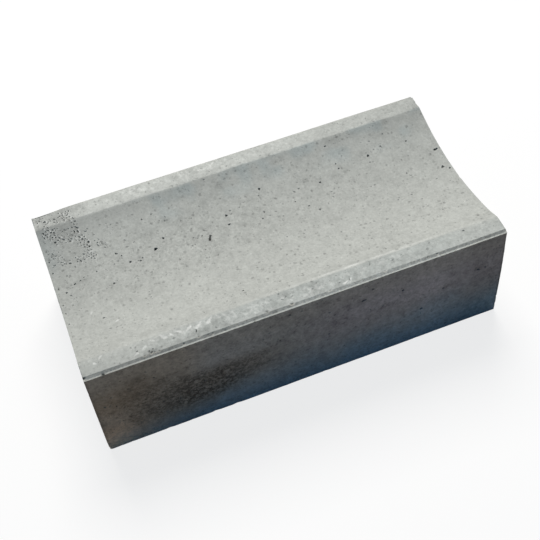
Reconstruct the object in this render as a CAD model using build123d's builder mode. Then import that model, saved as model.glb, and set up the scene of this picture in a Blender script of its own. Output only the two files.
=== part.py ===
"""Concrete drainage channel: one cast block, a long straight gutter unit with a dished top.

The block lies on its bed. X runs along the flow, Y across it and Z up.
The origin is at the middle of the bed.
"""

import os

from build123d import *

# Overall sizes, in millimetres
length = 500.0
width = 250.0
height = 150.0

# The dish that carries the water: a shallow round arc between two flat rims
rim_width = 25.0
dish_depth = 20.0
lip_radius = 4.0

# The long top edges: a narrow ledge at the side face, then a bevel up to the rim
ledge_width = 2.0
bevel_run = 2.5
bevel_drop = 2.5

# Where the section's corners come from those sizes
side = width / 2
lip = side - rim_width
ledge_height = height - bevel_drop
bevel_foot = side - ledge_width
bevel_top = bevel_foot - bevel_run

# The rounding at the dish's lip may take up most of the rim's flat, and not all of it
rim_flat = bevel_top - lip
lip_share = 0.8
lip_rounding = min(lip_radius, lip_share * rim_flat)

os.makedirs("parts", exist_ok=True)

with BuildPart() as channel_block:
    with BuildSketch(Plane.YZ) as section:
        with BuildLine() as outline:
            Polyline(
                (0, 0),
                (side, 0),
                (side, ledge_height),
                (bevel_foot, ledge_height),
                (bevel_top, height),
                (lip, height),
            )
            mirror(about=Plane.YZ)
            SagittaArc((-lip, height), (lip, height), -dish_depth)
        make_face()
        rim_corners = section.vertices().group_by(Axis.Y)[-1]
        lips = rim_corners.sort_by(lambda corner: abs(corner.X))[:2]
        fillet(lips, radius=lip_rounding)
    extrude(amount=length / 2, both=True)

channel_block.part.label = "channel_block"
export_step(channel_block.part, "parts/channel_block.step")
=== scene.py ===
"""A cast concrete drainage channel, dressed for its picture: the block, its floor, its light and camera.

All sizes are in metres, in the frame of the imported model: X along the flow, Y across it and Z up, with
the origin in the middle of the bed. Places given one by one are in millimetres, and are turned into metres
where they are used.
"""

import itertools
import logging
import math
from collections.abc import Callable
from dataclasses import astuple, dataclass, field
from enum import Enum

import bpy
import numpy as np
from mathutils import Matrix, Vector
from mathutils.geometry import delaunay_2d_cdt


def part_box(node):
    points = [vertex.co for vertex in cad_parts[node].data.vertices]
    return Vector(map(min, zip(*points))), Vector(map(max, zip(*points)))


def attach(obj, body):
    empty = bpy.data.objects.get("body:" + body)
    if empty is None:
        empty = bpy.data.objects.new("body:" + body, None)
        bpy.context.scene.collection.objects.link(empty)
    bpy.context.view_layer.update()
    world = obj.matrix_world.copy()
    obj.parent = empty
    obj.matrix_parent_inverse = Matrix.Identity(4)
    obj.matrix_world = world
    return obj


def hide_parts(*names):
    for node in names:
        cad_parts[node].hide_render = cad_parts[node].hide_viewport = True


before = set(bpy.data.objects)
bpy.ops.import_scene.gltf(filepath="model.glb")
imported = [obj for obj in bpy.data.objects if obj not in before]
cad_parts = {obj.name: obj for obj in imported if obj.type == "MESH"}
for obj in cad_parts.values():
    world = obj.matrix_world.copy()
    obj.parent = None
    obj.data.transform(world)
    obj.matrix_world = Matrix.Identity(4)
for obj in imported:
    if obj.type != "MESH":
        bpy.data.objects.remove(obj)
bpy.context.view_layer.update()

LOG = logging.getLogger("drainage_channel")
MM = 0.001
# Two places nearer than this are the same
TINY = 1e-9
# How far outside a face a point may lie and still be worn with it
SLACK = 1e-6
WHITE = (1.0, 1.0, 1.0)
NODE = "channel_block"

Array = np.ndarray
Socket = bpy.types.NodeSocket
Point = tuple[float, float]
Colour = tuple[float, float, float]


def step(low: float, high: float, values: Array) -> Array:
    """Smooth step: 0 below low, 1 above high, and the cubic 3t^2 - 2t^3 between them.

    Args:
        low: where the step starts.
        high: where it ends; below low, the step runs down instead.
        values: what it is read at.

    Returns:
        The step's height at each value.
    """
    t = np.clip((values - low) / (high - low), 0.0, 1.0)
    return t * t * (3.0 - 2.0 * t)


def hump(values: Array, middle: float, reach: float, power: float = 2.0) -> Array:
    """A soft hump of height 1: exp(-|(v - middle) / reach|^power).

    Args:
        values: what it is read at.
        middle: where it is highest.
        reach: how far from the middle it falls to about a third.
        power: 2 for a bell, more for a flatter top.

    Returns:
        The hump's height at each value.
    """
    return np.exp(-np.abs((values - middle) / reach) ** power)


def blend(first: Array, second: Colour, share: Array) -> Array:
    """Mixes rows of colours towards one colour.

    Args:
        first: a colour, or one for each row.
        second: the colour mixed in.
        share: how much of it, row by row, from 0 to 1.

    Returns:
        A colour for each row.
    """
    return np.asarray(first) + share[:, None] * (np.asarray(second) - first)


@dataclass(frozen=True)
class Unevenness:
    """A smooth random field in space, for what a mould and a press never leave quite true."""

    seed: int
    side: int = 32
    # How many cells each finer copy lies aside of the one before
    aside: float = 7.3

    def at(self, places: Array, cell: float) -> Array:
        """Random numbers from -1 to 1 on a cubic lattice, blended by a quintic step within each cell.

        Args:
            places: points, one row each.
            cell: the lattice's pitch.

        Returns:
            One value for each point.
        """
        knots = np.random.default_rng(self.seed).uniform(-1.0, 1.0, (self.side,) * 3)
        scaled = places / cell
        low = np.floor(scaled).astype(np.int64)
        t = scaled - low
        t = t * t * t * (t * (6.0 * t - 15.0) + 10.0)
        total = np.zeros(len(places))
        for corner in itertools.product((0, 1), repeat=3):
            index = (low + corner) % self.side
            weight = np.where(corner, t, 1.0 - t).prod(axis=1)
            total += weight * knots[index[:, 0], index[:, 1], index[:, 2]]
        return total

    def rough(self, places: Array, cell: float, layers: int) -> Array:
        """The field added to copies of itself, each half as coarse and half as high as the one before.

        Args:
            places: points, one row each.
            cell: the coarsest pitch.
            layers: how many copies are added.

        Returns:
            One value for each point, mostly between -1 and 1.
        """
        total = np.zeros(len(places))
        for layer in range(layers):
            total += 0.5**layer * self.at(places + self.aside * layer * cell, cell * 0.5**layer)
        return total


class Strip(Enum):
    """The strips of the section, in order round it from the front bottom edge."""

    SIDE_FRONT = 0
    LEDGE_FRONT = 1
    BEVEL_FRONT = 2
    RIM_FRONT = 3
    LIP_FRONT = 4
    DISH = 5
    LIP_BACK = 6
    RIM_BACK = 7
    BEVEL_BACK = 8
    LEDGE_BACK = 9
    SIDE_BACK = 10
    BED = 11


class Finish(Enum):
    """The finishes of the block's faces, in the order of the mesh's materials."""

    PRESSED_TOP = 0
    BEVEL_STRIP = 1
    MOULD_SIDE = 2
    BED = 3


@dataclass(frozen=True)
class Run:
    """One strip of the section, from start to end in (y, z): a straight line, or an arc about a centre."""

    start: Point
    end: Point
    centre: Point | None = None

    def sweep(self) -> tuple[float, float, float]:
        """Reads the arc.

        Returns:
            Its radius, its first angle and the signed angle that it turns through.
        """
        (y0, z0), (y1, z1), (yc, zc) = self.start, self.end, self.centre
        first = math.atan2(z0 - zc, y0 - yc)
        turn = math.remainder(math.atan2(z1 - zc, y1 - yc) - first, 2.0 * math.pi)
        return math.hypot(y0 - yc, z0 - zc), first, turn

    @property
    def length(self) -> float:
        """The strip's width round the section: a straight length, or an arc's radius times its angle.

        Returns:
            The width.
        """
        if self.centre is None:
            return math.dist(self.start, self.end)
        radius, _, turn = self.sweep()
        return radius * abs(turn)

    def at(self, share: Array) -> tuple[Array, Array]:
        """Points and outward normals: start + share * (end - start), or the same share of the arc's angle.

        Args:
            share: how far along the strip, from 0 to 1.

        Returns:
            Points and unit normals in (y, z), with the block on the right of the way round.
        """
        if self.centre is None:
            along = np.subtract(self.end, self.start)
            places = np.asarray(self.start) + share[:, None] * along
            tangent = np.broadcast_to(along / np.linalg.norm(along), places.shape)
        else:
            radius, first, turn = self.sweep()
            angle = first + share * turn
            spoke = np.stack([np.cos(angle), np.sin(angle)], axis=1)
            places = np.asarray(self.centre) + radius * spoke
            tangent = np.sign(turn) * np.stack([-spoke[:, 1], spoke[:, 0]], axis=1)
        return places, np.stack([-tangent[:, 1], tangent[:, 0]], axis=1)


@dataclass(frozen=True)
class Section:
    """The block's section across the flow, the same as the solid's."""

    width: float
    height: float
    rim_width: float = 25.0 * MM
    dish_depth: float = 20.0 * MM
    lip_radius: float = 4.0 * MM
    ledge_width: float = 2.0 * MM
    bevel_run: float = 2.5 * MM
    bevel_drop: float = 2.5 * MM

    @property
    def side(self) -> float:
        """How far the side faces stand from the middle."""
        return self.width / 2.0

    @property
    def ledge_height(self) -> float:
        """The height of the ledge at the top of each side face."""
        return self.height - self.bevel_drop

    def runs(self) -> list[Run]:
        """The strips in the order of Strip: the front half, the dish, the front half mirrored, and the bed.

        Returns:
            One run for each strip.
        """
        half = self.side - self.rim_width
        radius = (half**2 + self.dish_depth**2) / (2.0 * self.dish_depth)
        hub = (0.0, self.height - self.dish_depth + radius)
        drop = hub[1] - self.height + self.lip_radius
        reach = radius + self.lip_radius
        lip_y = math.sqrt(reach**2 - drop**2)
        lip_hub = (-lip_y, self.height - self.lip_radius)
        shore = (-lip_y * radius / reach, hub[1] - drop * radius / reach)
        foot = self.side - self.ledge_width
        front = [
            (-self.side, 0.0),
            (-self.side, self.ledge_height),
            (-foot, self.ledge_height),
            (-foot + self.bevel_run, self.height),
            (-lip_y, self.height),
            shore,
        ]
        back = [(-y, z) for y, z in reversed(front)]
        corners = [*front, *back, front[0]]
        hubs = {Strip.LIP_FRONT: lip_hub, Strip.DISH: hub, Strip.LIP_BACK: (lip_y, lip_hub[1])}
        pairs = zip(Strip, corners, corners[1:], strict=False)
        return [Run(start, end, hubs.get(strip)) for strip, start, end in pairs]

    def borders(self) -> Array:
        """Where each strip starts, measured round the section, with the whole way round at the end."""
        return np.concatenate([[0.0], np.cumsum([run.length for run in self.runs()])])

    def at(self, around: Array) -> tuple[Array, Array]:
        """Points and outward normals of the section at distances measured round it.

        Args:
            around: distances from the front bottom edge.

        Returns:
            Points and unit normals in (y, z). A point on a border takes the mean of both strips' normals.
        """
        borders = self.borders()
        places, normals = np.zeros((2, len(around), 2))
        for run, start, end in zip(self.runs(), borders, borders[1:], strict=False):
            near = (around >= start - TINY) & (around <= end + TINY)
            share = np.clip((around[near] - start) / (end - start), 0.0, 1.0)
            places[near], outward = run.at(share)
            normals[near] += outward
        shut = (around <= TINY) | (around >= borders[-1] - TINY)
        normals[shut] = (-1.0, -1.0)
        return places, normals / np.linalg.norm(normals, axis=1)[:, None]


@dataclass(frozen=True)
class Mark:
    """One void or scuff in a face, given one by one, in millimetres and degrees.

    Its depth is a share of its radius. Gloom darkens its inside with painted shade and dirt, edge pales its
    rim as a painted highlight on its lit side, and floor pales its inside.
    """

    x: float
    across: float
    radius: float
    stretch: float = 1.15
    turn: float = 0.0
    depth: float = 1.1
    gloom: float = 0.55
    edge: float = 0.1
    floor: float = 0.0


def scuff(start: Point, end: Point, width: float, pale: float = 1.0) -> Mark:
    """A pale stroke on the skin, too shallow to see but by its colour.

    Args:
        start: one end, in millimetres.
        end: the other end.
        width: how wide it is in the middle.
        pale: how pale it is.

    Returns:
        The stroke.
    """
    long = math.dist(start, end)
    return Mark(
        x=(start[0] + end[0]) / 2.0,
        across=(start[1] + end[1]) / 2.0,
        radius=math.sqrt(long * width) / 2.0,
        stretch=long / width,
        turn=math.degrees(math.atan2(end[1] - start[1], end[0] - start[0])),
        depth=0.02,
        gloom=0.0,
        edge=0.0,
        floor=pale,
    )


# One row for each void or scuff of a face: its place on the face's two axes, then what a Mark has
ROW = ("x", "s", "radius", "stretch", "turn", "depth", "gloom", "edge", "floor")
MARKS = np.dtype([(name, float) for name in ROW])


@dataclass(frozen=True)
class Scatter:
    """A sort of void strewn at random, with radii by a power law.

    Stretch, depth over radius, darkness and paleness of the rim are the most that one has; the darkness is
    painted shade and dirt inside, the paleness a painted highlight on the rim. Each lies within an angle of
    veer from the turn.
    """

    least: float
    most: float
    fall: float
    stretch: float = 1.2
    depth: float = 0.8
    gloom: float = 0.45
    edge: float = 0.1
    turn: float = 0.0
    veer: float = math.pi / 2.0

    # The ranges, over the sort's own value, that depth, darkness and paleness are drawn from
    DEPTHS = (0.7, 1.15)
    GLOOMS = (0.5, 1.0)
    EDGES = (0.2, 1.0)

    def strew(self, draw: np.random.Generator, x: Array, s: Array) -> Array:
        """Voids at given places, each with a random size, shape and darkness.

        Args:
            draw: the random source.
            x: places on the face's first axis.
            s: places on its second.

        Returns:
            A row of MARKS for each place.
        """
        rows = np.zeros(len(x), MARKS)
        rows["x"], rows["s"] = x, s
        share = draw.random(len(x))
        spread = 1.0 - (self.least / self.most) ** self.fall
        rows["radius"] = self.least * (1.0 - share * spread) ** (-1.0 / self.fall)
        rows["stretch"] = 1.0 + self.stretch * draw.random(len(x)) ** 2
        rows["turn"] = self.turn + self.veer * draw.uniform(-1.0, 1.0, len(x))
        rows["depth"] = rows["radius"] * self.depth * draw.uniform(*self.DEPTHS, len(x))
        rows["gloom"] = self.gloom * draw.uniform(*self.GLOOMS, len(x))
        rows["edge"] = self.edge * draw.uniform(*self.EDGES, len(x))
        return rows


@dataclass
class Voids:
    """The voids and scuffs of a face.

    The rim of each is the polar curve r (1 + a cos 2t + b cos 3t), stretched along one axis and turned.
    Inside it, the floor falls along rings of that curve's shape.
    """

    rows: Array = field(default_factory=lambda: np.zeros(0, MARKS))

    LOBES = (0.10, 0.17)
    # The phase of the lobes, over the void's turn and its radius
    TURN_PHASE = 9.0
    RADIUS_PHASE = 5000.0
    # How far apart two voids stay, over the sum of their radii, without and with collars
    ROOM = (1.12, 1.15)
    # A void whose edge is at least this pale has a collar of painted highlight, by its size and paleness
    # over the rim's
    PALE_EDGE = 0.3
    COLLAR = 1.2
    COLLAR_PALE = 0.8
    # How far from a void the face's own points stay, over its radius, without and with a collar
    CLEAR = (1.2, 1.6)
    # The way from which a rim's painted highlight falls, as an angle on the face's axes, and how much of it
    # all round
    LIT = -0.35
    LIT_ROUND = 0.1
    # Rings inside this share of the rim are turned by half a side
    TURNED = 0.8
    # Rings from the rim inwards: share of the radius, share of the depth. Larger voids have more of them.
    RINGS = {
        8: ((1.0, 0.0), (0.62, 0.75), (0.0, 1.0)),
        10: ((1.0, 0.0), (0.82, 0.52), (0.48, 0.92), (0.0, 1.0)),
        16: ((1.0, 0.0), (0.9, 0.42), (0.7, 0.78), (0.4, 0.96), (0.0, 1.0)),
    }
    SIZES = {8: (0.0, 0.95 * MM), 10: (0.95 * MM, 1.6 * MM), 16: (1.6 * MM, 1.0)}

    def place(self, marks: tuple[Mark, ...], around: Callable[[Array], Array]) -> None:
        """Takes in voids given one by one, as they are.

        Args:
            marks: the voids.
            around: gives the distance round the section from a void's second place.
        """
        rows = np.array([astuple(mark) for mark in marks], MARKS)
        rows["depth"] *= rows["radius"] * MM
        rows["s"] = around(rows["s"] * MM)
        for name in ("x", "radius"):
            rows[name] *= MM
        rows["turn"] = np.radians(rows["turn"])
        self.rows = np.concatenate([self.rows, rows])

    def add(self, rows: Array) -> None:
        """Takes in voids that keep clear of those already here and of each other, in the order given.

        Args:
            rows: the voids.
        """
        middle = np.stack([rows["x"], rows["s"]], axis=1)
        reach = rows["radius"] * rows["stretch"] ** 0.3
        near = np.stack([self.rows["x"], self.rows["s"]], axis=1)
        kept_middle, kept_reach = list(near), list(self.rows["radius"] * self.rows["stretch"] ** 0.4)
        room = np.where(rows["edge"] < self.PALE_EDGE, *self.ROOM)
        keep = []
        for index, (place, own) in enumerate(zip(middle, reach, strict=True)):
            if kept_middle:
                apart = np.linalg.norm(np.asarray(kept_middle) - place, axis=1)
                if np.any(apart < room[index] * (np.asarray(kept_reach) + own)):
                    continue
            kept_middle.append(place)
            kept_reach.append(own)
            keep.append(index)
        self.rows = np.concatenate([self.rows, rows[keep]])

    def rim(self, which: Array, angle: Array) -> Array:
        """The rim's distance from the middle before stretching: r (1 + a cos 2(t + m) + b cos 3(t + n)).

        Args:
            which: the void that each angle belongs to.
            angle: angles round the middle.

        Returns:
            One distance for each angle. The phases m and n come from the void's own turn and size.
        """
        two, three = self.LOBES
        own = self.rows[which]
        phase = self.TURN_PHASE * own["turn"] + self.RADIUS_PHASE * own["radius"]
        lobes = two * np.cos(2.0 * (angle + phase)) + three * np.cos(3.0 * angle - 2.0 * phase)
        return own["radius"] * (1.0 + lobes)

    def points(self) -> tuple[Array, Array, Array, Array]:
        """Every ring's points: a share of the rim's curve, stretched by sqrt(k) and 1 / sqrt(k), turned.

        Returns:
            Places on the face, how deep each lies, how dark and how pale it is.
        """
        places, depths, dark, pale = [np.zeros((0, 2))], [np.zeros(0)], [np.zeros(0)], [np.zeros(0)]
        lit_way = (math.cos(self.LIT), math.sin(self.LIT))
        for count, rings in self.RINGS.items():
            low, high = self.SIZES[count]
            which = np.flatnonzero((self.rows["radius"] >= low) & (self.rows["radius"] < high))
            for ring, fall in ((self.COLLAR, 0.0), *rings):
                sides = count if ring else 1
                some = which[self.rows["edge"][which] >= self.PALE_EDGE] if ring > 1.0 else which
                void, side = (grid.ravel() for grid in np.meshgrid(some, np.arange(sides), indexing="ij"))
                own = self.rows[void]
                angle = 2.0 * math.pi * (side + 0.5 * (ring < self.TURNED)) / sides
                away = ring * self.rim(void, angle)
                long = away * np.cos(angle) * np.sqrt(own["stretch"])
                wide = away * np.sin(angle) / np.sqrt(own["stretch"])
                c, s = np.cos(own["turn"]), np.sin(own["turn"])
                out = np.stack([c * long - s * wide, s * long + c * wide], axis=1)
                places.append(np.stack([own["x"], own["s"]], axis=1) + out)
                depths.append(fall * own["depth"])
                dark.append(fall * own["gloom"])
                # The painted highlight on rims and collars, strongest on the side that faces the LIT way
                facing = out @ lit_way / np.maximum(np.linalg.norm(out, axis=1), TINY)
                lit = np.clip(self.LIT_ROUND + (1.0 - self.LIT_ROUND) * facing, 0.0, 1.0)
                if ring < 1.0:
                    pale.append(fall * own["floor"])
                else:
                    pale.append(own["edge"] * lit * (self.COLLAR_PALE if ring > 1.0 else 1.0))
        return tuple(np.concatenate(values) for values in (places, depths, dark, pale))

    def clear_of(self, places: Array) -> Array:
        """Which places lie outside every void, with a little room round each rim.

        Args:
            places: points on the face.

        Returns:
            True for each point that is clear.
        """
        clear = np.ones(len(places), bool)
        for index, own in enumerate(self.rows):
            root = math.sqrt(own["stretch"])
            away = places - (own["x"], own["s"])
            room = self.CLEAR[int(own["edge"] >= self.PALE_EDGE)]
            near = np.flatnonzero(np.abs(away).max(axis=1) < 1.3 * room * own["radius"] * root)
            away = away[near]
            c, s = math.cos(own["turn"]), math.sin(own["turn"])
            long = (c * away[:, 0] + s * away[:, 1]) / root
            wide = (c * away[:, 1] - s * away[:, 0]) * root
            rim = self.rim(np.full(len(near), index), np.arctan2(wide, long))
            clear[near] &= np.hypot(long, wide) > room * rim
        return clear


# Voids that stand out on the top, by x and y
TOP_PITS = (
    Mark(-61, 21, 2.3, 3.8, 66, 1.4, 1),
    Mark(-125, 31, 2.1, 1.2, 10, 1.2, 1),
    Mark(-112, 42, 1.45, 1.3, -20, 1.1, 0.9),
    Mark(-32, 44, 1.6, 1.2, 40, 1.1, 0.8),
    Mark(-33, 31, 1.45, 1.3, 15, 1.1, 0.8),
    Mark(18, 64, 1.6, 1.3, 60, 1.1, 0.7),
    Mark(14, 56, 0.9),
    Mark(12, 32, 1.2, 1.4, -30),
    Mark(7, 24, 1),
    Mark(-128, 74, 1.15, gloom=0.45),
    Mark(-170, 42, 1.5, 1.4, -25, 1.1, 0.6),
    Mark(-165, 37, 1.05),
    Mark(-158, 25, 1.5, 1.3, 30, 1.1, 0.6),
    Mark(-146, 22, 1.1, 1.4, 55, 1.1, 0.6),
    Mark(-143, 25, 1.0, 1.3, 20, 1.0, 0.45),
    Mark(-184, 3, 1.4, 1.2, 10, 0.9, 0.42),
    Mark(-226, 20, 1.2, 1.6, 20, 1.1, 0.55),
    Mark(-219, 22, 1.0, 1.8, 40, 0.9, 0.4),
    Mark(-214, 25, 0.9, 1.6, 35, 0.9, 0.45),
    Mark(-238, 12, 1.2, gloom=0.75),
    Mark(-208, -42, 1.3),
    Mark(-54, -75, 1.15, gloom=0.6),
    Mark(-53, -83, 0.9, 1.5, -40, 0.9, 0.3),
    Mark(-139, 1, 0.95, 1.15, 0, 1.0, 0.4),
    Mark(-198, 27, 0.95, 1.15, 0, 1.0, 0.45),
    Mark(116, 90, 1.25),
    Mark(161, 61, 1.7, 1.05, 0, 1.1, 0.75),
    Mark(181, 68, 1.1),
    Mark(214, 64, 1.25),
    Mark(243, 40, 2.2, 1.9, 10, 0.8, 0.8),
    Mark(239, 12, 2.0, 1.3, 10, 0.9, 0.75),
    Mark(246, 7, 1.4, 1.3, 60, 1.0, 0.6),
    Mark(91, 47, 1.4, gloom=0.65),
    Mark(120, 57, 1.15),
    Mark(119, 64, 1),
    Mark(75, 10, 1.3),
    Mark(65, 20, 1.15),
    Mark(52, 32, 1.05),
    Mark(194, 20, 1),
    Mark(204, -104, 1.4, 1.2, 0, 0.8, 0.35),
    Mark(-120.5, -112.5, 1.3, 2.4, 80, 0.9, 0.5),
    Mark(-175, -116.8, 0.95, 1.5, 60, 1.0, 0.6),
    Mark(-170.5, -115.4, 0.9, 1.3, 30, 1.0, 0.5),
    Mark(-172.5, -118.6, 0.9, 1.6, 20, 1.0, 0.6),
    Mark(-187, -112, 1.0, 1.4, 30, 1.0, 0.55),
    Mark(18, -101, 1.5, 2.2, -55, 0.4, 0.34),
    Mark(22, -105, 1.4, 2.0, 60, 0.4, 0.34),
    Mark(15, -111, 1.5, 1.6, 30, 0.4, 0.3),
    Mark(86, -106, 1.5, 2.6, 55, 0.4, 0.28),
    Mark(124, -107, 1.3, 1.8, 50, 0.4, 0.25),
    Mark(112, -110, 1.4, 1.5, 10, 0.4, 0.26),
    Mark(101, -102, 1.2, 1.6, 20, 0.4, 0.25),
    Mark(-16, -109, 1.4, 1.7, 40, 0.4, 0.28),
    Mark(-21, -111, 1.3, 1.6, -20, 0.4, 0.28),
    Mark(-9, -111, 1.2, 1.5, 10, 0.4, 0.28),
    Mark(58, -115, 1.4, 2.6, 75, 0.4, 0.36),
    Mark(46, -115, 1.2, 1.6, 20, 0.4, 0.28),
    Mark(-246, -34, 1.0, 1.3, 0, 0.9, 0.5),
    Mark(-246, -17, 1.1, 1.4, 80, 0.9, 0.5),
    Mark(-246, -4, 1.0, 1.3, 0, 0.9, 0.45),
    Mark(-245.5, 20, 1.2, 1.5, 80, 0.9, 0.5),
    Mark(-246, 43, 1.1, 1.3, 0, 0.9, 0.5),
    Mark(-246, 58, 1.0, 1.3, 60, 0.9, 0.5),
    Mark(-245.5, 72, 1.1, 1.4, 80, 0.9, 0.5),
    Mark(-79, 29, 1.1, 1.5, 20, 0.6, 0.4),
    Mark(-74.5, 26.5, 0.9, 1.6, 30, 0.6, 0.35),
    Mark(-68.5, 27.5, 1.2, 1.9, 35, 0.6, 0.4),
    Mark(-64, 34.5, 1.0, 2.6, -60, 0.6, 0.42),
    Mark(-103, 63, 0.95, 2.0, 70, 0.6, 0.45),
    Mark(-100, 63, 0.9, 1.7, 80, 0.6, 0.45),
    Mark(-109, 65.5, 0.9, 1.6, 30, 0.6, 0.35),
    Mark(-85, 56.5, 0.95, 1.7, 75, 0.6, 0.38),
    Mark(-114, 58.5, 0.85, 1.5, 10, 0.6, 0.38),
    Mark(-89, 42, 0.9, 1.6, 50, 0.6, 0.3),
    Mark(-91, 30.5, 0.9, 1.8, 20, 0.6, 0.3),
    Mark(-71, -5.5, 1.0, 1.5, 40, 0.6, 0.34),
    Mark(-60.5, -6.5, 1.1, 1.8, 60, 0.6, 0.3),
)
# Pale strokes on the front rim and the dish, by x and y from one end to the other
TOP_SCUFFS = (
    scuff((-108, -109), (-99, -101), 4.6),
    scuff((-121, -110.5), (-112, -102.5), 4.6),
    scuff((-131, -109), (-122.5, -101.5), 4),
    scuff((-141.5, -102.5), (-134, -108.5), 3.4, 0.85),
    scuff((-160, -101.5), (-150.5, -109), 5, 0.85),
    scuff((-149, -102.5), (-144.5, -109.5), 3.4, 0.7),
    scuff((-171, -103.5), (-164.5, -107), 3.4, 0.6),
    scuff((-88, -100.5), (-82, -110), 3.4, 0.5),
    scuff((-95, -99), (-90, -107.5), 3.2, 0.5),
    scuff((-78, -102.5), (-73.5, -109.5), 3, 0.5),
    scuff((-198.5, -54.5), (-192, -52), 2.8, 0.7),
    scuff((-191.5, -117), (-185.5, -113), 3, 0.6),
    scuff((-181, -111.5), (-174.5, -108), 3.4, 0.55),
    scuff((-228.5, -105.5), (-222.5, -100.5), 3, 0.6),
    scuff((-235, -107), (-231.5, -110), 3.2, 0.8),
    scuff((48.5, -119), (55.5, -115.5), 2.8),
    scuff((57, -118), (60.5, -113), 2.8, 0.9),
    scuff((19.5, -114.5), (26.5, -110), 3.6, 0.6),
    scuff((-61, -113.5), (-53.5, -108), 3.2, 0.5),
    scuff((-37, 111), (-29.5, 115.5), 3.6, 0.6),
    scuff((-26, 115.5), (-19.5, 119.5), 3.4, 0.6),
    scuff((-220.5, -31), (-217.5, -25), 2.6, 0.5),
    scuff((-26.5, -21.5), (-23.5, -20), 2.4, 0.4),
    scuff((12.5, -20), (15.5, -18.5), 2.4, 0.3),
    scuff((-43.5, -6), (-40.5, -4.5), 2.4, 0.3),
    scuff((-35, -52.5), (-33, -49.5), 2.4, 0.3),
    scuff((-63, -55.5), (-61, -52.5), 2.4, 0.3),
    scuff((-131.5, -12), (-128.5, -10.5), 2.6, 0.35),
)
# Voids that stand out on the front face, by x and z
FRONT_PITS = (
    Mark(-18, 137, 1.5, 1.3, 20),
    Mark(173, 84, 1.5),
    Mark(146, 58, 1.8),
    Mark(217, 96, 1.8, 1.3, -20),
    Mark(71, 115, 2.2, 1.9, 10),
    Mark(82, 130, 1.5, 1.4, 30),
    Mark(120, 108, 1.7),
    Mark(28, 74, 1.5),
)
# Small pale flecks on the front face, by x and z
FRONT_FLECKS = (
    scuff((-118, 103), (-113.5, 105.5), 2.6, 0.22),
    scuff((-124, 96), (-120, 98.5), 2.4, 0.16),
    scuff((-136, 112), (-132, 114), 2.4, 0.14),
    scuff((-141, 59), (-137, 62), 2.6, 0.12),
    scuff((-215, 58), (-211, 61), 2.6, 0.12),
)
# Dark smudges on the front face: x, z, reach along, reach up (mm) and strength
SMUDGES = (
    (80, 132, 5, 3.5, 0.4),
    (71, 115, 7, 4, 0.5),
    (51, 115, 7, 4, 0.4),
    (19, 138, 5, 4, 0.35),
    (27, 135, 5, 4, 0.3),
    (123, 107, 7, 4, 0.4),
    (218, 99, 6, 4, 0.45),
    (186, 106, 8, 4, 0.35),
    (174, 84, 4, 3, 0.35),
    (108, 91, 5, 3, 0.3),
    (236, 73, 6, 5, 0.3),
    (186, 87, 7, 4, 0.3),
    (-2, 124, 5, 4, 0.3),
    (-18, 137, 5, 4, 0.5),
    (-29, 136, 7, 4, 0.3),
    (-37, 130, 6, 4, 0.3),
    (5, 111, 6, 4, 0.3),
    (38, 88, 6, 3, 0.3),
    (-18, 102, 9, 3, 0.35),
    (-49, 110, 9, 3, 0.35),
    (-71, 139, 4, 2.5, 0.5),
    (-60, 67, 4, 3, 0.35),
    (-119, 128, 5, 3, 0.45),
    (-138, 108, 7, 3, 0.45),
    (-194, 118, 12, 6, 0.55),
    (-167, 104, 9, 6, 0.4),
    (-233, 73, 5, 3, 0.3),
    (-245, 54, 4, 8, 0.4),
)
# Grainy smudges on the front rim and in the dish: x, y, reach along, reach across (mm) and strength
TOP_SMUDGES = (
    (-173, -118, 6, 3.5, 1),
    (-164, -106, 6, 5, 0.5),
    (-140, -118, 4, 3, 0.7),
    (-120, -114, 6, 5, 0.6),
    (-110, -115, 4, 4, 0.8),
    (-97, -111, 3, 5, 0.5),
    (-88, -117, 6, 3, 0.7),
    (-42, -119, 3, 2, 0.8),
    (-17, -108, 6, 7, 0.8),
    (17, -105, 5, 6, 0.8),
    (16, -116, 10, 4, 0.6),
    (43, -115, 3, 2, 0.6),
    (66, -111, 4, 4, 0.4),
    (-217, 21, 8, 3, 0.6),
    (-144, 24, 5, 5, 0.5),
    (-177, -12, 18, 14, 0.22),
    (-183, -24, 6, 4, 0.3),
    (-165, -12, 5, 4, 0.3),
    (-140, -27, 12, 12, 0.22),
    (-113, -24, 5, 5, 0.3),
    (-124, 53, 4, 5, 0.4),
    (-104, 63, 7, 3, 0.5),
    (-203, -78, 5, 2, 0.35),
    (-24, 84, 7, 5, 0.6),
    (-51, 70, 5, 4, 0.35),
    (-85, 56, 4, 8, 0.35),
    (-64, 35, 2.5, 5, 0.5),
    (-74, 28, 8, 3, 0.5),
    (-63, -6, 6, 4, 0.45),
    (-39, 29, 5, 4, 0.4),
    (-20, 24, 5, 5, 0.35),
    (-44, 11, 5, 4, 0.3),
    (-22, 1, 4, 3, 0.35),
    (-47, -11, 4, 4, 0.3),
    (75, 56, 7, 3, 0.5),
    (112, 49, 7, 3, 0.5),
    (88, 45, 5, 4, 0.35),
    (83, 32, 4, 3, 0.45),
    (130, 36, 7, 3, 0.4),
    (146, 35, 3, 2.5, 0.4),
    (159, 25, 4, 6, 0.5),
    (171, 19, 5, 5, 0.35),
    (156, 67, 5, 3, 0.5),
    (134, 79, 5, 3, 0.5),
    (65, -4, 5, 4, 0.4),
    (88, -14, 7, 5, 0.35),
    (126, -11, 10, 9, 0.2),
    (165, -8, 4, 3, 0.35),
    (203, 1, 3, 8, 0.3),
    (193, 43, 5, 4, 0.35),
    (217, 57, 4, 4, 0.35),
    (188, 83, 9, 7, 0.3),
    (126, 94, 7, 3, 0.5),
    (155, 94, 6, 3, 0.45),
    (200, 95, 8, 3, 0.5),
    (231, 79, 5, 3, 0.45),
)
# Lime bloom on the rims: x, y, reach along, reach across (mm) and strength
BLOOMS = (
    (-150, -106, 60, 6, 0.35),
    (-60, -110, 50, 8, 0.5),
    (20, -112, 40, 7, 0.5),
    (100, -108, 50, 6, 0.35),
    (-28, 115, 30, 6, 0.6),
    (-110, 112, 60, 8, 0.5),
    (40, 114, 40, 7, 0.4),
)
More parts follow.
